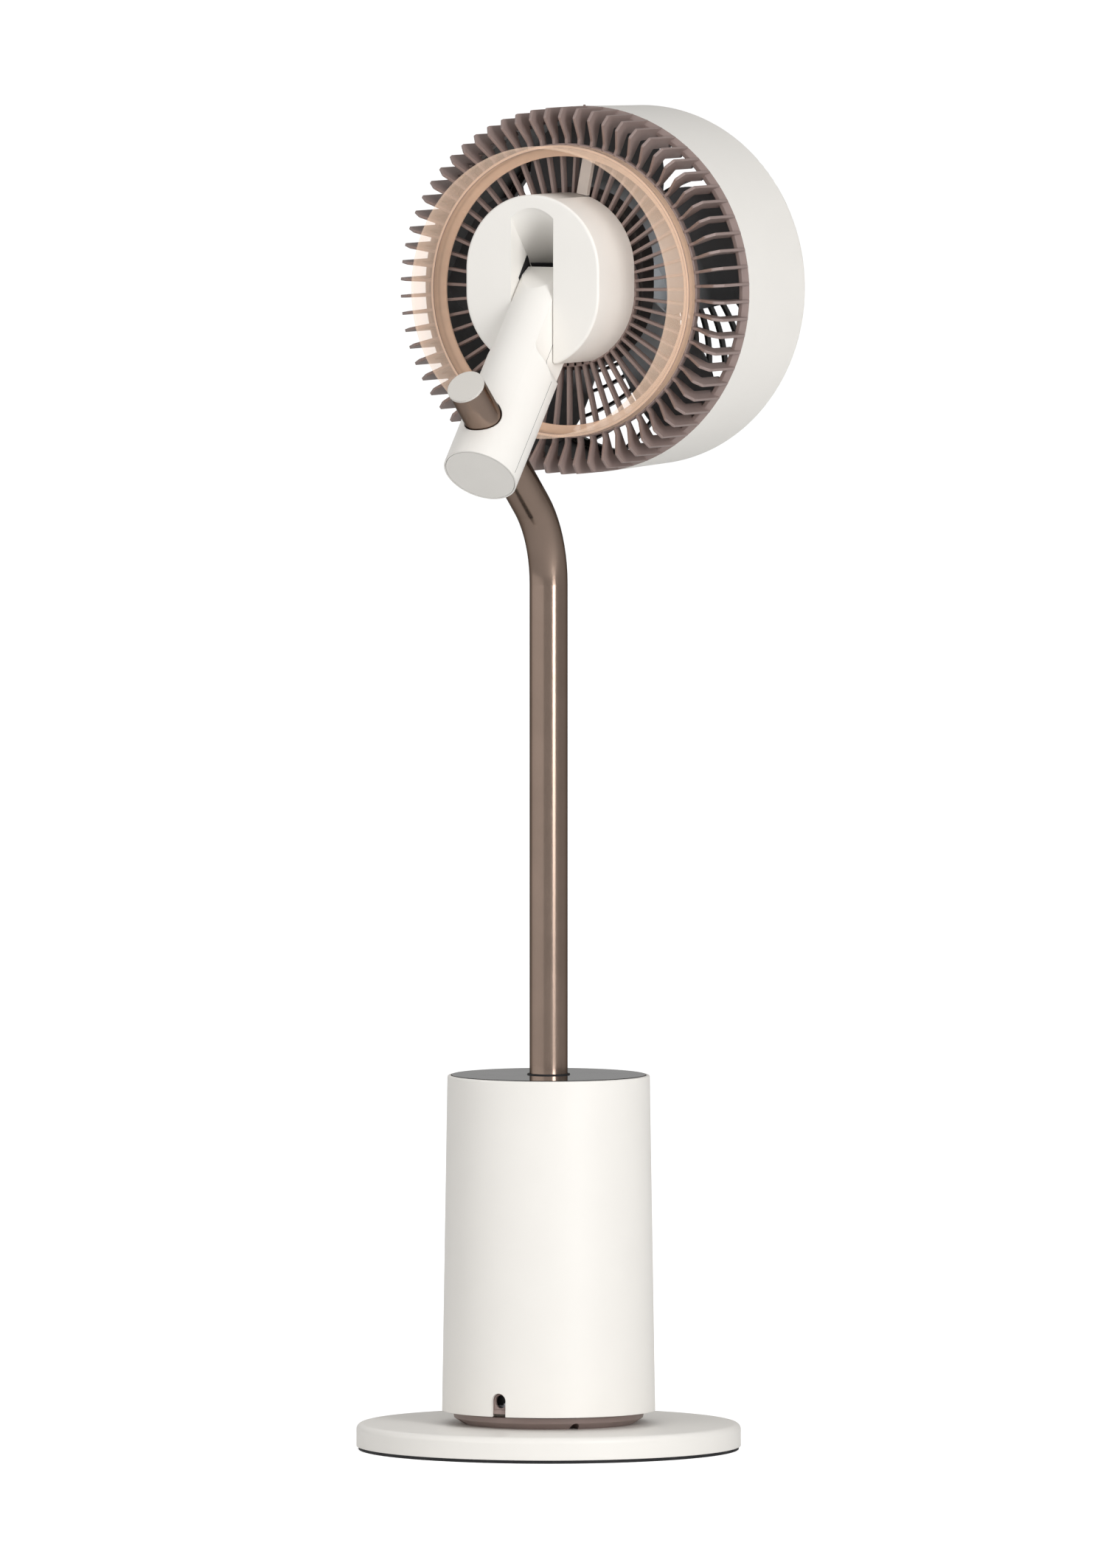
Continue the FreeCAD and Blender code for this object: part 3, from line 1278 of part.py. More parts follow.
def spiral_rib():
    """One curved rib of the front grille: a logarithmic spiral of even thickness."""
    inner = float(dim.front_cap_radius) - float(dim.front_ring_width) / 2
    outer = float(drum_lip_radius + dim.front_ring_seat) - float(dim.front_ring_width) / 2
    climb = math.tan(math.radians(float(dim.spiral_angle)))
    half = float(dim.spiral_thickness) / 2
    rows = ([], [])
    for step in range(SPIRAL_STEPS + 1):
        radius = inner + (outer - inner) * step / SPIRAL_STEPS
        angle = climb * math.log(radius / inner)
        for row, side in zip(rows, (-1, 1)):
            offset = side * half / math.cos(math.atan(climb)) / radius
            turn = angle + offset
            row.append(vector(radius * math.cos(turn), radius * math.sin(turn), front_grille_rear))
    left, right = rows
    edges = [smooth_curve(left), smooth_curve(right)]
    for end in (0, -1):
        edges.append(Part.LineSegment(left[end], right[end]).toShape())
    face = Part.Face(Part.Wire(Part.__sortEdges__(edges)))
    return face.extrude(UP * float(dim.spiral_depth))


def build_drum():
    """The drum, the spiral front grille that rests behind its lip and the cap in the middle."""
    inside_round = dim.drum_lip_round - dim.drum_wall
    keep_in_head("drum_shell", turned([
        (drum_radius - dim.drum_wall, drum_rear), (drum_radius, drum_rear),
        (drum_front_radius, drum_front, dim.drum_lip_round), (drum_lip_radius, drum_front),
        (drum_lip_radius, front_grille_front),
        (drum_front_radius - dim.drum_wall, front_grille_front, inside_round),
    ]))
    ring_outer = drum_lip_radius + dim.front_ring_seat
    rim = tube(ring_outer - dim.front_ring_width, ring_outer, front_grille_rear, dim.spiral_depth)
    core = tube(dim.front_cap_radius - dim.front_ring_width, dim.front_cap_radius,
                front_grille_rear, dim.spiral_depth)
    ribs = spread(spiral_rib(), whole(dim.spiral_count))
    keep_shape_in_head("front_grille", rim.multiFuse(ribs + [core]))
    cap_top = front_grille_front + dim.front_cap_wall
    keep_in_head("front_cap", turned([
        (0, front_grille_front), (dim.front_cap_radius, front_grille_front), (dim.front_cap_radius, cap_top),
        (dim.front_cap_radius / 2, cap_top + dim.front_cap_rise * 3 / 4), (0, cap_top + dim.front_cap_rise),
    ]))


def build_motor():
    """The motor inside its dark cover: stator, bearings, shaft and outer rotor."""
    cover_front = grille_front + dim.cover_depth
    cover_inset = dim.hub_radius - cover_radius
    cover = stadium(cover_inset, grille_front, cover_front)
    inside = stadium(cover_inset + dim.cover_wall, grille_front + dim.cover_wall, cover_front)
    plate_hole = Part.makeCylinder(
        float(hub_plate_radius + dim.fit_gap), float(dim.cover_depth), vector(0, 0, grille_front))
    keep_shape_in_head("motor_cover", cover.cut([inside, plate_hole]))
    stator = tube(dim.bearing_tube_radius + dim.seat_gap, dim.stator_radius, stator_rear, dim.stator_length)
    wire_slot = float(dim.stator_radius) / float(dim.stator_slots)
    slot_length = float(dim.stator_radius) / 2
    slot = Part.makeBox(
        slot_length, wire_slot, float(dim.stator_length),
        vector(dim.stator_radius - slot_length * 4 / 5, -wire_slot / 2, stator_rear))
    keep_shape_in_head("motor_stator", stator.cut(spread(slot, whole(dim.stator_slots))))
    bore = dim.shaft_radius + dim.running_gap
    bearings = [
        tube(bore, dim.bearing_radius, grille_front, dim.bearing_width),
        tube(bore, dim.bearing_radius, tube_front - dim.bearing_width, dim.bearing_width),
    ]
    keep_shape_in_head("motor_bearings", Part.makeCompound(bearings))

    nut_front = blade_front + dim.blade_nut_height
    shaft_front = nut_front - dim.blade_nut_height / 4
    keep_in_head("motor_shaft", turned([
        (0, grille_front), (dim.shaft_radius, grille_front),
        (dim.shaft_radius, shaft_front), (0, shaft_front),
    ]))
    bell_inside = dim.stator_radius + dim.bell_gap
    bell_outside = bell_inside + dim.rotor_wall
    shaft_bore = dim.shaft_radius + dim.seat_gap
    keep_in_head("rotor_bell", turned([
        (bell_inside, bell_rear), (bell_outside, bell_rear), (bell_outside, blade_rear),
        (shaft_bore, blade_rear),
        (shaft_bore, bell_front), (bell_inside, bell_front),
    ]))
    keep_in_head("blade_nut", turned([
        (shaft_bore, blade_front), (dim.blade_nut_radius, blade_front),
        (dim.blade_nut_radius, nut_front - dim.blade_nut_height / 4), (dim.blade_nut_radius / 2, nut_front),
        (0, nut_front), (0, shaft_front + dim.seat_gap), (shaft_bore, shaft_front + dim.seat_gap),
    ]))


def blade_section(radius, chord, pitch):
    """A thin cambered section of one blade, square to its radius."""
    middle = float(blade_front - dim.blade_hub_depth / 2)
    half = float(dim.blade_thickness) / 2
    lean = math.radians(pitch)
    camber = chord * float(dim.blade_camber)

    def at(along, off):
        y = along * math.cos(lean) - off * math.sin(lean)
        z = along * math.sin(lean) + off * math.cos(lean)
        return vector(radius, y, middle + z)

    front, back = chord / 2, -chord / 2
    edges = [
        Part.Arc(at(back, half / 2), at(0, camber + half), at(front, half / 2)).toShape(),
        Part.LineSegment(at(front, half / 2), at(front, -half / 2)).toShape(),
        Part.Arc(at(front, -half / 2), at(0, camber - half), at(back, -half / 2)).toShape(),
        Part.LineSegment(at(back, -half / 2), at(back, half / 2)).toShape(),
    ]
    return Part.Wire(edges)


def build_blade():
    """The impeller: a cup that covers the rotor, with twisted blades."""
    hub = float(dim.blade_hub_radius)
    tip = float(blade_tip_radius)
    root_chord = float(dim.blade_root_chord)
    middle_chord = float(dim.blade_middle_chord)
    tip_chord = float(dim.blade_tip_chord)
    root_pitch = float(dim.blade_root_pitch)
    tip_pitch = float(dim.blade_tip_pitch)
    sections = []
    for share in BLADE_STATIONS:
        along = max(share, 0)
        chord = (root_chord * (1 - along) * (1 - 2 * along) + middle_chord * 4 * along * (1 - along)
                 + tip_chord * along * (2 * along - 1))
        pitch = root_pitch + (tip_pitch - root_pitch) * share
        sections.append(blade_section(hub + (tip - hub) * share, chord, pitch))
    wall = float(dim.blade_hub_wall)
    depth = float(dim.drum_depth)
    span = tube(hub - wall / 2, tip, drum_rear - depth / 2, depth * 2)
    blade = Part.makeLoft(sections, True, False).common(span)

    cup_rear = blade_front - dim.blade_hub_depth
    cup = Part.makeCylinder(hub, float(dim.blade_hub_depth), vector(0, 0, cup_rear))
    hollow = Part.makeCylinder(hub - wall, float(dim.blade_hub_depth) - wall, vector(0, 0, cup_rear))
    boss = Part.makeCylinder(
        float(dim.blade_nut_radius), float(blade_front - blade_rear), vector(0, 0, blade_rear))
    bore = rod(dim.shaft_radius + dim.seat_gap, depth * 4, vector(0, 0, blade_front), UP)
    blades = spread(blade, whole(dim.blade_count), float(dim.blade_phase))
    impeller = cup.cut(hollow).multiFuse([boss] + blades)
    keep_shape_in_head("fan_blade", impeller.removeSplitter().cut(bore))


def write_pieces():
    """Check every object and write one file for each sub-part."""
    doc.recompute()
    for item in doc.Objects:
        if "Invalid" in item.State or "Error" in item.State:
            raise RuntimeError(f"{item.Label} failed: {item.State}")
    os.makedirs("parts", exist_ok=True)
    for label, item in pieces.items():
        if item.Shape.isNull() or not item.Shape.isValid():
            raise RuntimeError(f"{label} has no valid shape")
    for label, item in pieces.items():
        item.Shape.exportStep(f"parts/{label}.step")
        print(f"{label}: {len(item.Shape.Solids)} solids, {item.Shape.Volume:.0f} mm3")


build_base()
build_turntable()
build_gears()
build_column()
build_pole_seat()
build_top_panel()
build_pole()
build_arm()
build_tilt_axle()
build_hub()
build_rear_grille()
build_drum()
build_motor()
build_blade()
write_pieces()
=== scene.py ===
"""The dressed air circulator: its materials, its rounded pieces, the stage, the light and the camera.

Sizes are in metres in the frame of the solids: +Z up, the fan blows towards -Y and X = 0 is the mirror plane.
Head pieces are drawn by their radius from the fan axis and by their place along Y.
"""
import bmesh
import bpy
import json
import math
from mathutils import Matrix, Vector


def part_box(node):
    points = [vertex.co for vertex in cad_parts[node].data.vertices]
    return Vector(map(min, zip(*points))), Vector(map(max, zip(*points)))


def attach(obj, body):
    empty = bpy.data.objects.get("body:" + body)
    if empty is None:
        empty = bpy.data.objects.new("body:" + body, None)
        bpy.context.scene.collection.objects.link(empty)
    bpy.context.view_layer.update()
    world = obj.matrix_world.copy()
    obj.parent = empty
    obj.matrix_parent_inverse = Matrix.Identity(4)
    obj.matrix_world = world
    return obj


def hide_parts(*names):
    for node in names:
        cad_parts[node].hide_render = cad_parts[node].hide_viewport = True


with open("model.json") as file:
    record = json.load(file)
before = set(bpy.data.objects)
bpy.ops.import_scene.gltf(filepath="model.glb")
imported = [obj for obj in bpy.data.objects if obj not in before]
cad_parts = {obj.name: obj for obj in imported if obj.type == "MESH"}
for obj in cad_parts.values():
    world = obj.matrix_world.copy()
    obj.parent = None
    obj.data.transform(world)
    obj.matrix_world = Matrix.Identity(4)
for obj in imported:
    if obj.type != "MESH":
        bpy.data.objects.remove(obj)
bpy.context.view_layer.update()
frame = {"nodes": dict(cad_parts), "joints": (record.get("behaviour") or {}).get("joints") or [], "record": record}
nodes = frame["nodes"]
slot_of_node = {part["node"]: part["material_slot"] for part in frame["record"]["subparts"]}

MM = 0.001

# Places on the fan axis, read from the solids
drum_low, drum_high = (Vector(corner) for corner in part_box("drum_shell"))
FAN_HEIGHT = (drum_low.z + drum_high.z) / 2
FAN_AXIS = Vector((0, 0, FAN_HEIGHT))
joint_places = {joint["name"]: Vector(joint["pos_m"]) for joint in frame["joints"]}
TILT_PIVOT = joint_places["head_tilt"]

# Rear grille
RIB_COUNT = 66
RIB_THICKNESS = 2.2 * MM
RIB_ROUND = 0.28 * MM
RIB_SHELF = 5 * MM
RIB_DEPTH = 9.5 * MM
RIB_BEND = 4 * MM
RIB_FRONT = -34 * MM
CREST_RADIUS = 127.5 * MM
CREST_RISE = 11 * MM
CORNER_DROP = 5 * MM
CORNER_ROUND = 1.6 * MM
SPOKE_COUNT = 55
SPOKE_THICKNESS = 2.2 * MM
SPOKE_REAR = -30 * MM
SPOKE_FRONT = -36 * MM
HUB_RING_INNER = 50 * MM
HUB_RING_OUTER = 56 * MM
MID_RING_WIDTH = 3 * MM
MID_RING_DEPTH = 6 * MM
RIB_FOOT_ROUND = 1 * MM
RING_EDGE = 0.8 * MM
FLANGE_DEPTH = 5 * MM
FLANGE_SLOPE = 3 * MM
FLANGE_INSET = 0.15 * MM
SEAT_OUTER = 131.7 * MM
SEAT_INNER = 128.2 * MM
SEAT_DEPTH = 3 * MM
TAB_WIDTH = 1.4 * MM
TAB_LENGTH = 1.8 * MM
TAB_HEIGHT = 1 * MM
TAB_SETBACK = 5 * MM

# Accent ring and drum
ACCENT_RADIUS = 107 * MM
ACCENT_REAR = 14 * MM
ACCENT_FRONT = -27 * MM
ACCENT_WALL = 2 * MM
ACCENT_LIP_RADIUS = 98.5 * MM
ACCENT_LINE = -17.4 * MM
ACCENT_EDGE = 0.9 * MM
ACCENT_GAP = 0.05 * MM
LIP_EDGE = 0.5 * MM
LIP_INNER_EDGE = 0.8 * MM
LIP_FILLET = 6 * MM
LINE_HALF_WIDTH = 0.3 * MM
LINE_HALF_DEPTH = 0.08 * MM
FINE_SEGMENTS = 256
DRUM_RADIUS = 134.5 * MM
DRUM_REAR = -60 * MM
DRUM_WALL = 2.5 * MM
DRUM_DEPTH = 95 * MM
DRUM_TAPER = 2.3 * MM
LINER_FRONT = -146 * MM
LINER_SETBACK = 0.3 * MM
LINER_GAP = 0.1 * MM
LINER_THICKNESS = 0.4 * MM

# Arm and the slot that it tilts in
ARM_LEAN = math.radians(41.5)
ARM_UP = Vector((0, -math.sin(ARM_LEAN), math.cos(ARM_LEAN)))
ACROSS_ARM = Vector((0, math.cos(ARM_LEAN), math.sin(ARM_LEAN)))
ARM_LENGTH = 160.6 * MM
ARM_RADIUS = 27.75 * MM
TONGUE_HALF = 16.75 * MM
SHOULDER_START = 89.3 * MM
SHOULDER_END = 109.3 * MM
SLOT_HALF = 17.5 * MM
SLOT_REACH = 28.35 * MM
SLOT_ARCH_RISE = 5 * MM
RAMP_LEAN = math.radians(41.7)
FACET_DROP = 6.7 * MM
HUB_REAR = 26 * MM
# a thin black strip of painted shadow where the slot's end falls into shade beside the tongue
SHADOW_STRIP_LOW = 23.5 * MM
SHADOW_STRIP_HIGH = 30.4 * MM
SHADOW_STRIP_GAP = 0.05 * MM
SHADOW_STRIP_THICKNESS = 0.25 * MM
# the wedge of painted shadow down one wall of the slot
WEDGE_THICKNESS = 0.2 * MM
WEDGE_WIDTH = 8 * MM
WEDGE_TIP = 0.3 * MM
WEDGE_SUNK = 2 * MM
WEDGE_LENGTH_SHARE = 0.55
WEDGE_START_SHARE = 0.25
SEAM_START = 3.2 * MM
SEAM_END = 150 * MM
SEAM_HALF_WIDTH = 0.14 * MM
SEAM_SUNK = 0.06 * MM
SEAM_PROUD = 0.04 * MM

# Where tones change: how far into the slot its painted shade runs, and where the impeller's painted light near its
# middle ends
PAINTED_SLOT_SHADE_START = HUB_REAR - 3 * MM
PAINTED_SLOT_SHADE_END = HUB_REAR - 34 * MM
PAINTED_SLOT_SHADE = 0.72
PAINTED_LIGHT_MIDDLE_END = 62 * MM
PAINTED_LIGHT_OUTER_END = 78 * MM
SHARP_ANGLE = math.radians(50)


def colour(red, green, blue):
    """A colour from its screen values of 0 to 255."""
    def linear(value):
        share = value / 255
        if share <= 0.04045:
            return share / 12.92
        return ((share + 0.055) / 1.055) ** 2.4
    return (linear(red), linear(green), linear(blue), 1)


# Materials

class Finish:
    """A node material with the links that most surfaces share."""

    def __init__(self, name):
        self.material = bpy.data.materials.new(name)
        self.material.use_nodes = True
        self.tree = self.material.node_tree
        self.shader = self.tree.nodes["Principled BSDF"]
        self.place = self.node("ShaderNodeTexCoord").outputs["Object"]

    def node(self, kind, **values):
        """A new node with some of its inputs set."""
        made = self.tree.nodes.new(kind)
        for name, value in values.items():
            made.inputs[name.replace("_", " ")].default_value = value
        return made

    def link(self, start, end):
        """Join an output to an input."""
        self.tree.links.new(start, end)

    def set(self, **values):
        """Constants on the shader itself."""
        for name, value in values.items():
            self.shader.inputs[name.replace("_", " ")].default_value = value

    def stretch(self, x, y, z):
        """The object's own coordinates, drawn out along some axes."""
        mapping = self.node("ShaderNodeMapping")
        mapping.inputs["Scale"].default_value = (x, y, z)
        self.link(self.place, mapping.inputs["Vector"])
        return mapping.outputs["Vector"]

    def noise(self, size, detail=3.0, place=None):
        """Noise with features of about a size in metres."""
        made = self.node("ShaderNodeTexNoise", Scale=1 / size, Detail=detail)
        self.link(place or self.place, made.inputs["Vector"])
        return made.outputs["Fac"]

    def spread(self, source, low, high, start=0.3, end=0.7):
        """A noise value mapped to a range."""
        made = self.node("ShaderNodeMapRange", From_Min=start, From_Max=end, To_Min=low, To_Max=high)
        self.link(source, made.inputs["Value"])
        return made.outputs["Result"]

    def two_tones(self, source, first, second, start=0.3, end=0.7):
        """A colour that runs from one tone to another with a noise value."""
        ramp = self.node("ShaderNodeValToRGB")
        ramp.color_ramp.elements[0].position = start
        ramp.color_ramp.elements[1].position = end
        ramp.color_ramp.elements[0].color = first
        ramp.color_ramp.elements[1].color = second
        self.link(source, ramp.inputs["Fac"])
        self.link(ramp.outputs["Color"], self.shader.inputs["Base Color"])

    def blend(self, share, first, second):
        """The base colour: a colour output that gives way to a plain colour."""
        mix = self.node("ShaderNodeMix")
        mix.data_type = "RGBA"
        factor, under, over = (mix.inputs[index] for index in (0, 6, 7))
        over.default_value = second
        self.link(share, factor)
        self.link(first, under)
        self.link(mix.outputs[2], self.shader.inputs["Base Color"])

    def rough(self, source, low, high):
        """Roughness that varies with a noise value."""
        self.link(self.spread(source, low, high), self.shader.inputs["Roughness"])

    def relief(self, source, depth, edge):
        """Bump from a noise value, over edges that look rounded."""
        bump = self.node("ShaderNodeBump", Distance=depth)
        self.link(source, bump.inputs["Height"])
        if edge:
            rounding = self.node("ShaderNodeBevel", Radius=edge)
            rounding.samples = 4
            self.link(rounding.outputs["Normal"], bump.inputs["Normal"])
        self.link(bump.outputs["Normal"], self.shader.inputs["Normal"])


def tone(base, factor):
    """A colour made lighter or darker."""
    return (base[0] * factor, base[1] * factor, base[2] * factor, 1)


def moulded(name, base, roughness, grain, depth, vary=0.03, edge=0.5 * MM):
    """Moulded plastic or rubber: fine grain, faint clouds of colour and uneven gloss."""
    finish = Finish(name)
    clouds = finish.noise(45 * MM)
    finish.two_tones(clouds, tone(base, 1 - vary), tone(base, 1 + vary))
    finish.rough(finish.noise(6 * MM), roughness - 0.04, roughness + 0.04)
    finish.relief(finish.noise(grain, 2.0), depth, edge)
    return finish


def metal(name, base, roughness, brush, depth, edge=0.3 * MM, rim=1.0):
    """Brushed or satin metal: fine lines along one direction, and a tint of what its rim reflects."""
    finish = Finish(name)
    lines = finish.noise(0.25 * MM, 4.0, finish.stretch(*brush))
    finish.two_tones(finish.noise(30 * MM), tone(base, 0.95), tone(base, 1.05))
    finish.rough(lines, roughness - 0.05, roughness + 0.05)
    finish.relief(lines, depth, edge)
    finish.set(Metallic=1.0, Specular_Tint=(rim, rim, rim, 1))
    return finish


def translucent_with_painted_glow(name, base, clearness, glow):
    """Tinted plastic that lets light through: soft streaks, and a faint painted glow that stands in for the light
    shining through it.
    """
    finish = Finish(name)
    streaks = finish.noise(9 * MM, 2.0, finish.stretch(1.0, 0.12, 1.0))
    finish.two_tones(streaks, tone(base, 0.96), tone(base, 1.03))
    finish.rough(finish.noise(12 * MM), 0.2, 0.28)
    finish.relief(finish.noise(6 * MM, 2.0), 0.004 * MM, 0)
    finish.set(Alpha=1 - clearness, Coat_Weight=0.2, Coat_Roughness=0.1)
    # painted glow: emission in place of light passing through the plastic
    finish.set(Emission_Color=(1.0, 0.9, 0.78, 1), Emission_Strength=glow)
    return finish


def impeller_with_painted_light():
    """Smoke-grey blades with painted light that makes them lighter towards their hub."""
    finish = moulded("blade_plastic", colour(96, 97, 99), 0.4, 0.6 * MM, 0.008 * MM, 0.04)
    dark = finish.shader.inputs["Base Color"].links[0].from_socket
    from_axis = finish.node("ShaderNodeVectorMath")
    from_axis.operation = "SUBTRACT"
    from_axis.inputs[1].default_value = FAN_AXIS
    finish.link(finish.place, from_axis.inputs[0])
    flat = finish.node("ShaderNodeVectorMath")
    flat.operation = "MULTIPLY"
    flat.inputs[1].default_value = (1, 0, 1)
    finish.link(from_axis.outputs["Vector"], flat.inputs[0])
    radius = finish.node("ShaderNodeVectorMath")
    radius.operation = "LENGTH"
    finish.link(flat.outputs["Vector"], radius.inputs[0])
    # painted light: the lit tone near the hub fades out into the smoke-grey blades further out
    painted_light_near_hub = finish.spread(radius.outputs["Value"], 1.0, 0.0, PAINTED_LIGHT_MIDDLE_END, PAINTED_LIGHT_OUTER_END)
    finish.blend(painted_light_near_hub, dark, colour(190, 194, 198))
    return finish


def shell_with_painted_slot_shade(base):
    """The hub's white moulding, with painted shade that darkens the floor of the arm's slot deeper in from the
    hub's rear face.
    """
    finish = moulded("hub_shell_painted_shade", base, 0.42, 0.5 * MM, 0.004 * MM, 0.008, 0.7 * MM)
    clouds = finish.shader.inputs["Base Color"].links[0].from_socket
    axes = finish.node("ShaderNodeSeparateXYZ")
    finish.link(finish.place, axes.inputs["Vector"])
    across = finish.node("ShaderNodeMath")
    across.operation = "ABSOLUTE"
    finish.link(axes.outputs["X"], across.inputs[0])
    within = finish.node("ShaderNodeMath")
    within.operation = "LESS_THAN"
    within.inputs[1].default_value = SLOT_HALF - 0.1 * MM
    finish.link(across.outputs["Value"], within.inputs[0])
    # painted shade: within the slot's width the colour darkens from near the hub's rear face to its deepest share
    # further in
    depth = finish.spread(axes.outputs["Y"], 0.0, PAINTED_SLOT_SHADE, PAINTED_SLOT_SHADE_START, PAINTED_SLOT_SHADE_END)
    share = finish.node("ShaderNodeMath")
    share.operation = "MULTIPLY"
    finish.link(within.outputs["Value"], share.inputs[0])
    finish.link(depth, share.inputs[1])
    # the colour of the painted shade
    finish.blend(share.outputs["Value"], clouds, colour(88, 84, 80))
    return finish


def panel_glass():
    """The dark touch panel: black glass with faint smears."""
    finish = Finish("panel_glass")
    smears = finish.noise(20 * MM, 5.0)
    finish.two_tones(smears, colour(30, 29, 29), colour(36, 35, 34))
    finish.rough(smears, 0.05, 0.11)
    finish.relief(finish.noise(60 * MM), 0.005 * MM, 0.3 * MM)
    finish.set(IOR=1.5, Coat_Weight=0.4, Coat_Roughness=0.04)
    return finish


FINISHES = {
    "white_shell": moulded("white_shell", colour(240, 237, 232), 0.42, 0.5 * MM, 0.004 * MM, 0.008, 0.7 * MM),
    "taupe_metal": metal("taupe_metal", colour(150, 131, 119), 0.19, (1.0, 1.0, 0.04), 0.0004 * MM, rim=0.3),
    "taupe_plastic": moulded("taupe_plastic", colour(146, 128, 123), 0.45, 0.6 * MM, 0.012 * MM, 0.05),
    "accent_finish": translucent_with_painted_glow("accent_finish", colour(222, 180, 147), 0.71, 0.37),
    "light_grey_plastic": moulded("light_grey", colour(214, 210, 204), 0.5, 0.5 * MM, 0.006 * MM, 0.015),
    "dark_plastic": moulded("dark_plastic", colour(58, 53, 51), 0.5, 0.7 * MM, 0.015 * MM, 0.06),
    "blade_plastic": impeller_with_painted_light(),
    "panel_glass": panel_glass(),
    "black_rubber": moulded("black_rubber", colour(26, 26, 30), 0.7, 0.9 * MM, 0.03 * MM, 0.08),
    "steel": metal("steel", colour(176, 176, 180), 0.28, (0.05, 1.0, 1.0), 0.002 * MM),
    "ballast_iron": moulded("ballast_iron", colour(70, 70, 74), 0.62, 1.5 * MM, 0.05 * MM, 0.12),
    "cast_aluminium": metal("cast_aluminium", colour(168, 168, 172), 0.48, (1.0, 1.0, 1.0), 0.02 * MM),
    "gear_plastic": moulded("gear_plastic", colour(225, 219, 205), 0.45, 0.6 * MM, 0.006 * MM, 0.02),
    "circuit_board": moulded("circuit_board", colour(32, 84, 52), 0.4, 1.2 * MM, 0.02 * MM, 0.15),
}
ACCENT_LIP_FINISH = translucent_with_painted_glow("accent_lip", colour(222, 182, 150), 0.35, 0.12)
# Nodes whose finish differs a little from the rest of their slot
NODE_FINISHES = {
    # the hub's own finish carries the painted shade in its slot
    "hub_housing": shell_with_painted_slot_shade(colour(240, 237, 232)),
    "arm_end_cap": moulded("arm_cap", colour(232, 229, 224), 0.5, 0.5 * MM, 0.006 * MM, 0.015),
    "cable_duct": moulded("duct", colour(202, 192, 184), 0.5, 0.5 * MM, 0.006 * MM, 0.015),
}
for node_name, slot_name in slot_of_node.items():
    mesh = nodes[node_name].data
    mesh.materials.clear()
    mesh.materials.append(NODE_FINISHES.get(node_name, FINISHES[slot_name]).material)


# Mesh helpers

def finished_piece(name, mesh_data, slot_name, body, finish=None):
    """A new piece with the finish of a slot or one of its own, which moves with a body."""
    mesh = bpy.data.meshes.new(name)
    bmesh.ops.recalc_face_normals(mesh_data, faces=mesh_data.faces)
    mesh_data.to_mesh(mesh)
    mesh_data.free()
    mesh.shade_smooth()
    mesh.set_sharp_from_angle(angle=SHARP_ANGLE)
    mesh.materials.append((finish or FINISHES[slot_name]).material)
    piece = bpy.data.objects.new(name, mesh)
    bpy.context.collection.objects.link(piece)
    weighting = piece.modifiers.new("even_shading", "WEIGHTED_NORMAL")
    weighting.keep_sharp = True
    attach(piece, body)
    return piece


def on_axis(radius, depth, angle):
    """A point at a radius from the fan axis, a place along Y and an angle from the top."""
    return Vector((radius * math.sin(angle), depth, FAN_HEIGHT + radius * math.cos(angle)))


def lathe(mesh_data, corners, segments=192):
    """A closed ring turned about the fan axis from (radius, place along Y) corners."""
    rows = []
    for step in range(segments):
        angle = 2 * math.pi * step / segments
        rows.append([mesh_data.verts.new(on_axis(radius, depth, angle)) for radius, depth in corners])
    for row, following in zip(rows, rows[1:] + rows[:1]):
        for index in range(len(corners)):
            after = (index + 1) % len(corners)
            mesh_data.faces.new((row[index], following[index], following[after], row[after]))


def rounded(corners, steps=4):
    """An outline whose corners (across, along, radius) are rounded; a radius of 0 stays sharp."""
    points = []
    count = len(corners)
    for index, (across, along, radius) in enumerate(corners):
        here = Vector((across, along))
        if radius == 0:
            points.append((across, along))
            continue
        to_before = (Vector(corners[index - 1][:2]) - here).normalized()
        to_after = (Vector(corners[(index + 1) % count][:2]) - here).normalized()
        half = to_before.angle(to_after) / 2
        start = here + to_before * (radius / math.tan(half))
        end = here + to_after * (radius / math.tan(half))
        centre = here + (to_before + to_after).normalized() * (radius / math.sin(half))
        for step in range(steps + 1):
            share = step / steps
            spoke = (start - centre).lerp(end - centre, share)
            point = centre + spoke.normalized() * radius
            points.append((point.x, point.y))
    return points


# Rear grille

def rib_outline():
    """The side view of one rib: a shelf beside the accent ring, a slope up to the crest and a skirt."""
    ring_inner = ACCENT_RADIUS - MID_RING_WIDTH
    skirt_inner = DRUM_RADIUS - RIB_DEPTH
    crest_level = ACCENT_FRONT + CREST_RISE
    return rounded([
        (ring_inner, ACCENT_FRONT, 0), (ACCENT_RADIUS + RIB_SHELF, ACCENT_FRONT, RIB_BEND),
        (CREST_RADIUS, crest_level, CORNER_ROUND), (DRUM_RADIUS, crest_level - CORNER_DROP, CORNER_ROUND),
        (DRUM_RADIUS, DRUM_REAR, 0), (skirt_inner, DRUM_REAR, 0), (skirt_inner, RIB_FRONT, RIB_FOOT_ROUND),
        (ring_inner, RIB_FRONT, 0),
    ], 6)


def spoke_outline():
    """The side view of one straight spoke."""
    start = (HUB_RING_INNER + HUB_RING_OUTER) / 2
    end = ACCENT_RADIUS - MID_RING_WIDTH / 2
    return [(start, SPOKE_REAR), (end, SPOKE_REAR), (end, SPOKE_FRONT), (start, SPOKE_FRONT)]


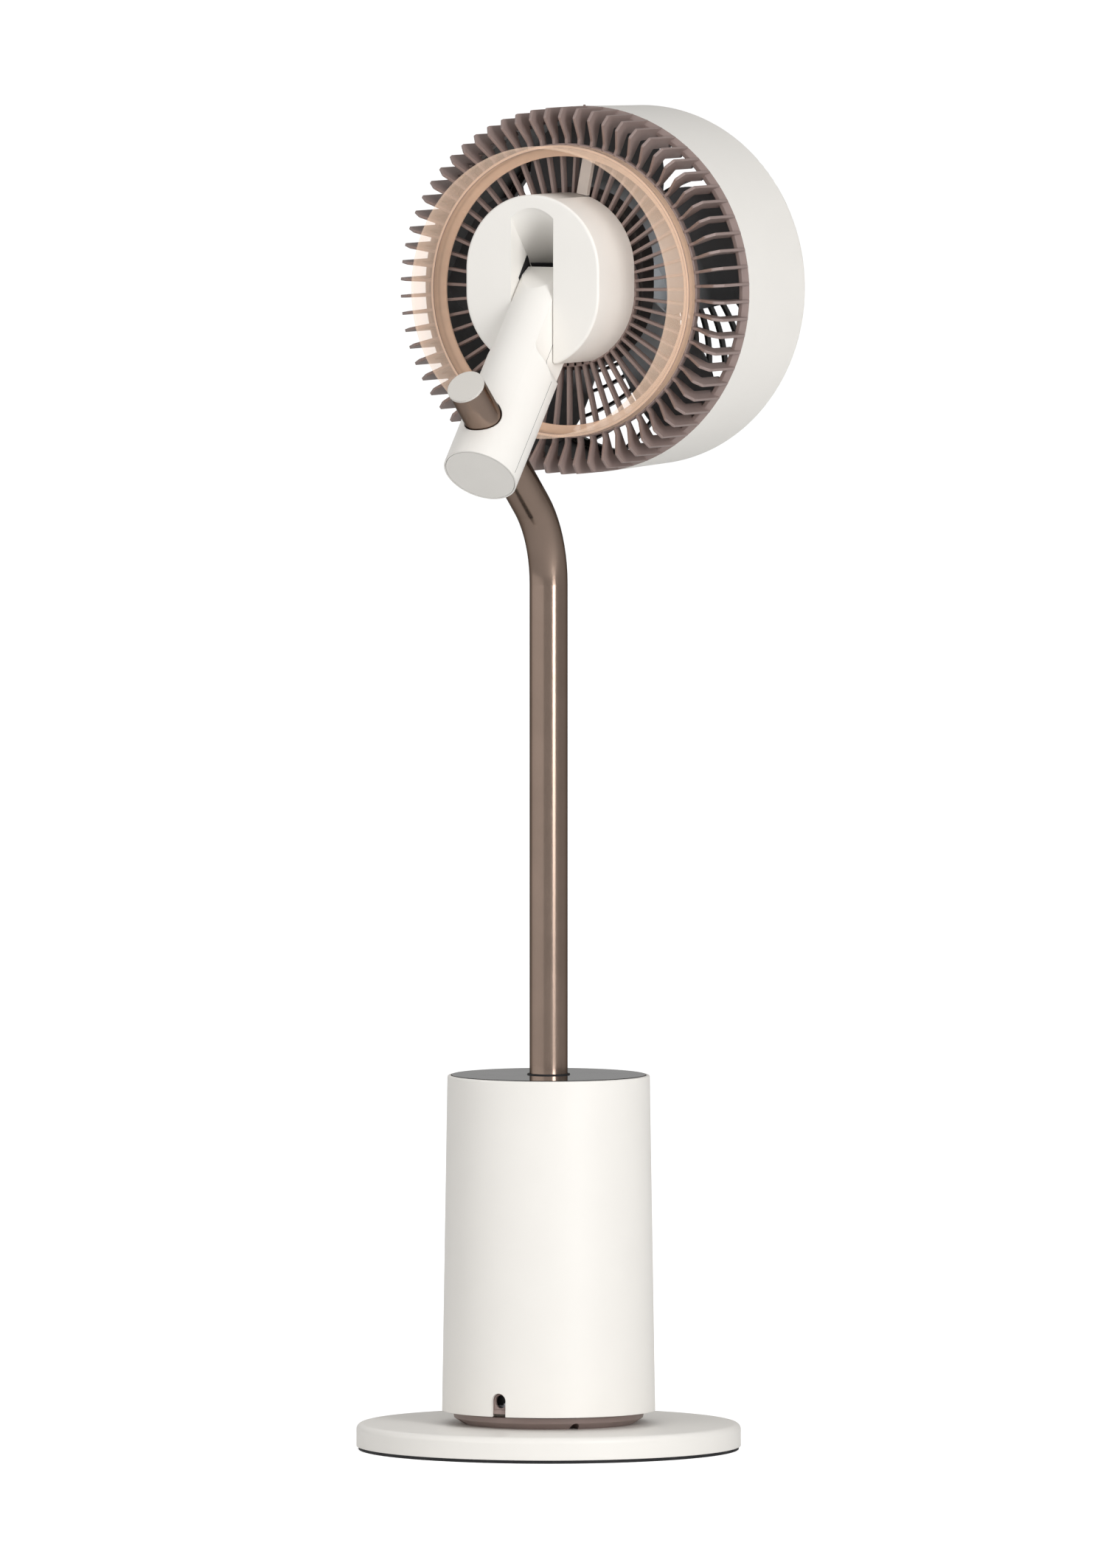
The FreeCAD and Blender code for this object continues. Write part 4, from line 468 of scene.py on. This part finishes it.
def plate(outline, thickness):
    """An upright plate at the top of the fan axis: an outline (radius, place along Y) with rounded edges."""
    made = bmesh.new()
    corners = [made.verts.new((-thickness / 2, along, across)) for across, along in outline]
    side = made.faces.new(corners)
    grown = bmesh.ops.extrude_face_region(made, geom=[side])
    far_verts = [item for item in grown["geom"] if isinstance(item, bmesh.types.BMVert)]
    bmesh.ops.translate(made, verts=far_verts, vec=(thickness, 0, 0))
    bmesh.ops.recalc_face_normals(made, faces=made.faces)
    rims = [edge for edge in made.edges if abs(edge.verts[0].co.x - edge.verts[1].co.x) < thickness / 2]
    bmesh.ops.bevel(
        made, geom=rims, offset=RIB_ROUND, offset_type="OFFSET", segments=2, profile=0.5, affect="EDGES")
    return made


def copies_round_axis(target, source, count, first=0.0):
    """Copies of a piece at the top of the fan axis, all round it from a first angle."""
    template = bpy.data.meshes.new("template")
    source.to_mesh(template)
    source.free()
    for step in range(count):
        turn = Matrix.Rotation(first + 2 * math.pi * step / count, 4, "Y")
        placed = template.copy()
        placed.transform(Matrix.Translation(FAN_AXIS) @ turn)
        target.from_mesh(placed)
        bpy.data.meshes.remove(placed)
    bpy.data.meshes.remove(template)


def square_ring(target, inner, outer, rear, front, edge):
    """A ring about the fan axis with a square section and rounded edges."""
    lathe(target, rounded([
        (inner, rear, edge), (outer, rear, edge), (outer, front, edge), (inner, front, edge)]))


def locating_tab():
    """The small tab on the outer edge of the topmost rib."""
    made = bmesh.new()
    bmesh.ops.create_cube(made, size=1)
    bmesh.ops.scale(made, verts=made.verts, vec=(TAB_WIDTH, TAB_LENGTH, 2 * TAB_HEIGHT))
    middle = DRUM_REAR + TAB_SETBACK - TAB_LENGTH / 2
    bmesh.ops.translate(made, verts=made.verts, vec=(0, middle, DRUM_RADIUS))
    bmesh.ops.bevel(
        made, geom=made.edges[:], offset=TAB_HEIGHT / 5, offset_type="OFFSET", segments=2, affect="EDGES")
    return made


def build_rear_grille():
    """The ribs and spokes with the rings that join them, and the locating tab."""
    made = bmesh.new()
    copies_round_axis(made, plate(rib_outline(), RIB_THICKNESS), RIB_COUNT)
    copies_round_axis(made, plate(spoke_outline(), SPOKE_THICKNESS), SPOKE_COUNT, math.pi)
    copies_round_axis(made, locating_tab(), 1)
    square_ring(made, HUB_RING_INNER, HUB_RING_OUTER, SPOKE_REAR, SPOKE_FRONT, RING_EDGE)
    square_ring(made, ACCENT_RADIUS - MID_RING_WIDTH, ACCENT_RADIUS + MID_RING_WIDTH / 3,
                ACCENT_FRONT, ACCENT_FRONT - MID_RING_DEPTH, RING_EDGE)
    flange_outer = DRUM_RADIUS - FLANGE_INSET
    flange_start = DRUM_RADIUS - FLANGE_SLOPE
    flange_rear = DRUM_REAR + FLANGE_DEPTH
    seat_end = DRUM_REAR - SEAT_DEPTH
    lathe(made, rounded([
        (SEAT_INNER, flange_rear, RING_EDGE), (flange_start, flange_rear, RING_EDGE),
        (flange_outer, DRUM_REAR, 0), (SEAT_OUTER, DRUM_REAR, 0), (SEAT_OUTER, seat_end, 0),
        (SEAT_INNER, seat_end, RING_EDGE),
    ]))
    piece = finished_piece("rear_ribs", made, "taupe_plastic", "head")
    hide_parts("rear_grille")


def build_drum_liner():
    """The thin dark lining of the drum's inside, which follows its taper."""
    made = bmesh.new()
    rear = DRUM_REAR - SEAT_DEPTH - LINER_SETBACK
    radii = []
    for depth in (rear, LINER_FRONT):
        taper = DRUM_TAPER * (DRUM_REAR - depth) / DRUM_DEPTH
        radii.append(DRUM_RADIUS - DRUM_WALL - LINER_GAP - taper)
    rear_radius, front_radius = radii
    lathe(made, [
        (rear_radius, rear), (front_radius, LINER_FRONT),
        (front_radius - LINER_THICKNESS, LINER_FRONT), (rear_radius - LINER_THICKNESS, rear),
    ])
    finished_piece("drum_liner", made, "dark_plastic", "head")


def build_accent_ring():
    """The tan ring: a clear wall, a denser filleted lip and the fine dark lines where they meet."""
    wall = ACCENT_RADIUS - ACCENT_WALL
    wall_end = ACCENT_LINE + ACCENT_GAP
    made = bmesh.new()
    lathe(made, rounded([
        (wall, ACCENT_REAR, ACCENT_EDGE), (ACCENT_RADIUS, ACCENT_REAR, ACCENT_EDGE),
        (ACCENT_RADIUS, wall_end, 0), (wall, wall_end, 0),
    ], 5), FINE_SEGMENTS)
    piece = finished_piece("accent_band", made, "accent_finish", "head")
    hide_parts("accent_ring")

    lip = bmesh.new()
    lip_start = ACCENT_LINE - ACCENT_GAP
    lip_rear = ACCENT_FRONT + ACCENT_WALL
    lathe(lip, rounded([
        (wall, lip_start, 0), (ACCENT_RADIUS, lip_start, 0), (ACCENT_RADIUS, ACCENT_FRONT, LIP_EDGE),
        (ACCENT_LIP_RADIUS, ACCENT_FRONT, LIP_EDGE), (ACCENT_LIP_RADIUS, lip_rear, LIP_INNER_EDGE),
        (wall, lip_rear, LIP_FILLET),
    ], 8), FINE_SEGMENTS)
    finished_piece("accent_lip", lip, "accent_finish", "head", ACCENT_LIP_FINISH)

    lines = bmesh.new()
    line_rear = ACCENT_LINE + LINE_HALF_WIDTH
    line_front = ACCENT_LINE - LINE_HALF_WIDTH
    for radius in (ACCENT_RADIUS, wall):
        inner = radius - LINE_HALF_DEPTH
        outer = radius + LINE_HALF_DEPTH
        lathe(lines, [
            (inner, line_rear), (outer, line_rear), (outer, line_front), (inner, line_front)], FINE_SEGMENTS)
    finished_piece("accent_lines", lines, "taupe_plastic", "head")


# Arm

def thin_shell(target, under, over):
    """A closed thin shell between two grids of points with the same rows and columns."""
    grids = [[[target.verts.new(point) for point in row] for row in grid] for grid in (under, over)]
    rows = len(under)
    columns = len(under[0])
    for grid in grids:
        for row in range(rows - 1):
            for column in range(columns - 1):
                target.faces.new((grid[row][column], grid[row][column + 1],
                                  grid[row + 1][column + 1], grid[row + 1][column]))
    low, high = grids
    border = [(0, column) for column in range(columns)]
    border += [(row, columns - 1) for row in range(1, rows)]
    border += [(rows - 1, column) for column in range(columns - 2, -1, -1)]
    border += [(row, 0) for row in range(rows - 2, 0, -1)]
    for (row, column), (next_row, next_column) in zip(border, border[1:] + border[:1]):
        target.faces.new((low[row][column], low[next_row][next_column],
                          high[next_row][next_column], high[row][column]))


def slot_wall(across, rise):
    """How far in front of the tilt pivot the arm's slot ends, at a height above the pivot."""
    arch_radius = (SLOT_HALF ** 2 + SLOT_ARCH_RISE ** 2) / (2 * SLOT_ARCH_RISE)
    ramp_reach = SLOT_REACH - arch_radius + math.sqrt(arch_radius ** 2 - across ** 2)
    ramp = (ramp_reach - rise * math.sin(RAMP_LEAN)) / math.cos(RAMP_LEAN)
    eye = math.sqrt(max(0, SLOT_REACH ** 2 - rise ** 2))
    return max(ramp, eye)


def build_slot_shadow_strip():
    """A thin black strip of painted shadow across the end of the slot and down one wall, clear of the tongue."""
    made = bmesh.new()
    half = SLOT_HALF - SHADOW_STRIP_GAP
    columns, rows = 24, 6
    under, over = [], []
    for row in range(rows + 1):
        rise = SHADOW_STRIP_LOW + (SHADOW_STRIP_HIGH - SHADOW_STRIP_LOW) * row / rows
        places = []
        for column in range(columns + 1):
            across = half * (2 * column / columns - 1)
            places.append(TILT_PIVOT + Vector((across, -slot_wall(across, rise), rise)))
        under.append(places)
        over.append([place + Vector((0, SHADOW_STRIP_THICKNESS, 0)) for place in places])
    thin_shell(made, under, over)

    # the wedge down the wall is painted shadow along the tongue's slanted facet
    facet_top = Vector((0, 0, ARM_RADIUS))
    facet_end = ACROSS_ARM * ARM_RADIUS - ARM_UP * FACET_DROP
    along = (facet_end - facet_top) * WEDGE_LENGTH_SHARE
    outward = Vector((0, facet_top.z - facet_end.z, facet_end.y)).normalized()
    steps = 8
    inside, outside = [], []
    for step in range(steps + 1):
        share = step / steps
        foot = TILT_PIVOT + facet_top + along * ((1 + WEDGE_START_SHARE) * share - WEDGE_START_SHARE)
        edge = foot + outward * (WEDGE_TIP + WEDGE_WIDTH * (1 - share))
        low_edge = foot - outward * WEDGE_SUNK
        for rows_of, out in ((inside, half - WEDGE_THICKNESS), (outside, half)):
            rows_of.append([low_edge + Vector((out, 0, 0)), edge + Vector((out, 0, 0))])
    thin_shell(made, inside, outside)
    finished_piece("slot_shadow_strip", made, "black_rubber", "head")


def arm_half_width(along):
    """Half the width of the arm at a distance from its lower end."""
    share = (along - SHOULDER_START) / (SHOULDER_END - SHOULDER_START)
    share = min(1, max(0, share))
    smooth = share ** 2 * (3 - 2 * share)
    return ARM_RADIUS + (TONGUE_HALF - ARM_RADIUS) * smooth


def build_arm_seam():
    """The fine dark parting line between the two shells of the arm, on both flanks."""
    made = bmesh.new()
    tail = TILT_PIVOT - ARM_UP * ARM_LENGTH
    width = ACROSS_ARM * SEAM_HALF_WIDTH
    steps = 60
    for side in (-1, 1):
        under, over = [], []
        for step in range(steps + 1):
            along = SEAM_START + (SEAM_END - SEAM_START) * step / steps
            out = arm_half_width(along)
            place = tail + ARM_UP * along
            inner = place + Vector((side * (out - SEAM_SUNK), 0, 0))
            outer = place + Vector((side * (out + SEAM_PROUD), 0, 0))
            under.append([inner - width, inner + width])
            over.append([outer - width, outer + width])
        thin_shell(made, under, over)
    finished_piece("arm_seam", made, "black_rubber", "column")


build_rear_grille()
build_drum_liner()
build_accent_ring()
build_slot_shadow_strip()
build_arm_seam()


# Stage

VIEW_AZIMUTH = math.radians(208)
VIEW_RISE = math.radians(3.3)
VIEW_DISTANCE = 21.6
IMAGE_HEIGHT = 2126
FOCAL_PIXELS = 40000
SENSOR = 36
IMAGE_RIGHT = Vector((math.cos(VIEW_AZIMUTH), math.sin(VIEW_AZIMUTH), 0))
TO_CAMERA = Vector((math.sin(VIEW_AZIMUTH), -math.cos(VIEW_AZIMUTH), 0))
VIEW_CENTRE = Vector((0, 0, 488 * MM)) + IMAGE_RIGHT * (3.2 * MM)
FLOOR_REACH = 120
FLOOR_GLOW = 0.06
FLOOR_GLOW_IN_VIEW = 0.68
LIT_POINT = Vector((0, 0, 550 * MM))
ROOM_DIM = 0.34
ROOM_BRIGHT = 0.86


def aim(item, target):
    """Turn a camera or a light towards a point."""
    item.rotation_euler = (target - item.location).to_track_quat("-Z", "Y").to_euler()


def build_camera():
    """A long lens from behind and a little above, as in the photograph."""
    data = bpy.data.cameras.new("camera")
    data.sensor_fit = "VERTICAL"
    data.sensor_height = SENSOR
    data.lens = FOCAL_PIXELS * SENSOR / IMAGE_HEIGHT
    data.clip_end = 500
    camera = bpy.data.objects.new("camera", data)
    bpy.context.collection.objects.link(camera)
    away = TO_CAMERA * math.cos(VIEW_RISE) + Vector((0, 0, math.sin(VIEW_RISE)))
    camera.location = VIEW_CENTRE + away * VIEW_DISTANCE
    aim(camera, VIEW_CENTRE)
    bpy.context.scene.camera = camera


def build_floor():
    """A wide pale floor; to the camera it looks as evenly white as a lit sweep."""
    reach = FLOOR_REACH
    corners = [(-reach, -reach, 0), (reach, -reach, 0), (reach, reach, 0), (-reach, reach, 0)]
    mesh = bpy.data.meshes.new("floor")
    mesh.from_pydata(corners, [], [(0, 1, 2, 3)])
    floor = bpy.data.objects.new("floor", mesh)
    bpy.context.collection.objects.link(floor)
    finish = Finish("floor")
    finish.two_tones(finish.noise(3.0), colour(226, 226, 226), colour(230, 230, 229))
    finish.set(Roughness=0.9, Specular_IOR_Level=0.1, Emission_Color=(1, 1, 1, 1))
    rays = finish.node("ShaderNodeLightPath")
    glow = finish.node("ShaderNodeMapRange", To_Min=FLOOR_GLOW, To_Max=FLOOR_GLOW_IN_VIEW)
    finish.link(rays.outputs["Is Camera Ray"], glow.inputs["Value"])
    finish.link(glow.outputs["Result"], finish.shader.inputs["Emission Strength"])
    mesh.materials.append(finish.material)


def soft_light(name, direction, distance, width, height, power, only_mirrored=False):
    """A large rectangular lamp that faces the object, or one that only glossy surfaces mirror."""
    data = bpy.data.lights.new(name, "AREA")
    data.shape = "RECTANGLE"
    data.size = width
    data.size_y = height
    data.energy = power
    lamp = bpy.data.objects.new(name, data)
    lamp.visible_diffuse = not only_mirrored
    bpy.context.collection.objects.link(lamp)
    lamp.location = LIT_POINT + direction.normalized() * distance
    aim(lamp, LIT_POINT)


def build_light():
    """A soft room that is brightest to the left of the camera, three soft lamps and a panel to mirror."""
    world = bpy.data.worlds.new("room")
    world.use_nodes = True
    tree = world.node_tree
    background = tree.nodes["Background"]
    background.inputs["Color"].default_value = (1.0, 0.995, 0.985, 1)
    bright_side = (TO_CAMERA * 0.75 - IMAGE_RIGHT * 0.65).normalized()
    direction = tree.nodes.new("ShaderNodeTexCoord")
    facing = tree.nodes.new("ShaderNodeVectorMath")
    facing.operation = "DOT_PRODUCT"
    facing.inputs[1].default_value = bright_side
    level = tree.nodes.new("ShaderNodeMapRange")
    level.interpolation_type = "SMOOTHSTEP"
    for name, value in (("From Min", -0.4), ("From Max", 0.8), ("To Min", ROOM_DIM), ("To Max", ROOM_BRIGHT)):
        level.inputs[name].default_value = value
    tree.links.new(direction.outputs["Generated"], facing.inputs[0])
    tree.links.new(facing.outputs["Value"], level.inputs["Value"])
    tree.links.new(level.outputs["Result"], background.inputs["Strength"])
    bpy.context.scene.world = world
    up = Vector((0, 0, 1))
    soft_light("key", TO_CAMERA * 0.84 + IMAGE_RIGHT * 0.54 + up * 0.28, 3.2, 0.9, 2.4, 53)
    soft_light("top", TO_CAMERA * 0.2 + up, 3.0, 2.4, 2.4, 5)
    soft_light("panel", TO_CAMERA * 0.26 - IMAGE_RIGHT * 0.97, 3.0, 6.0, 3.0, 22, only_mirrored=True)
    soft_light("rear", IMAGE_RIGHT * -0.4 - TO_CAMERA + up * 0.4, 3.4, 2.0, 2.0, 6)


build_camera()
build_floor()
build_light()
bpy.context.scene.view_settings.view_transform = "Standard"
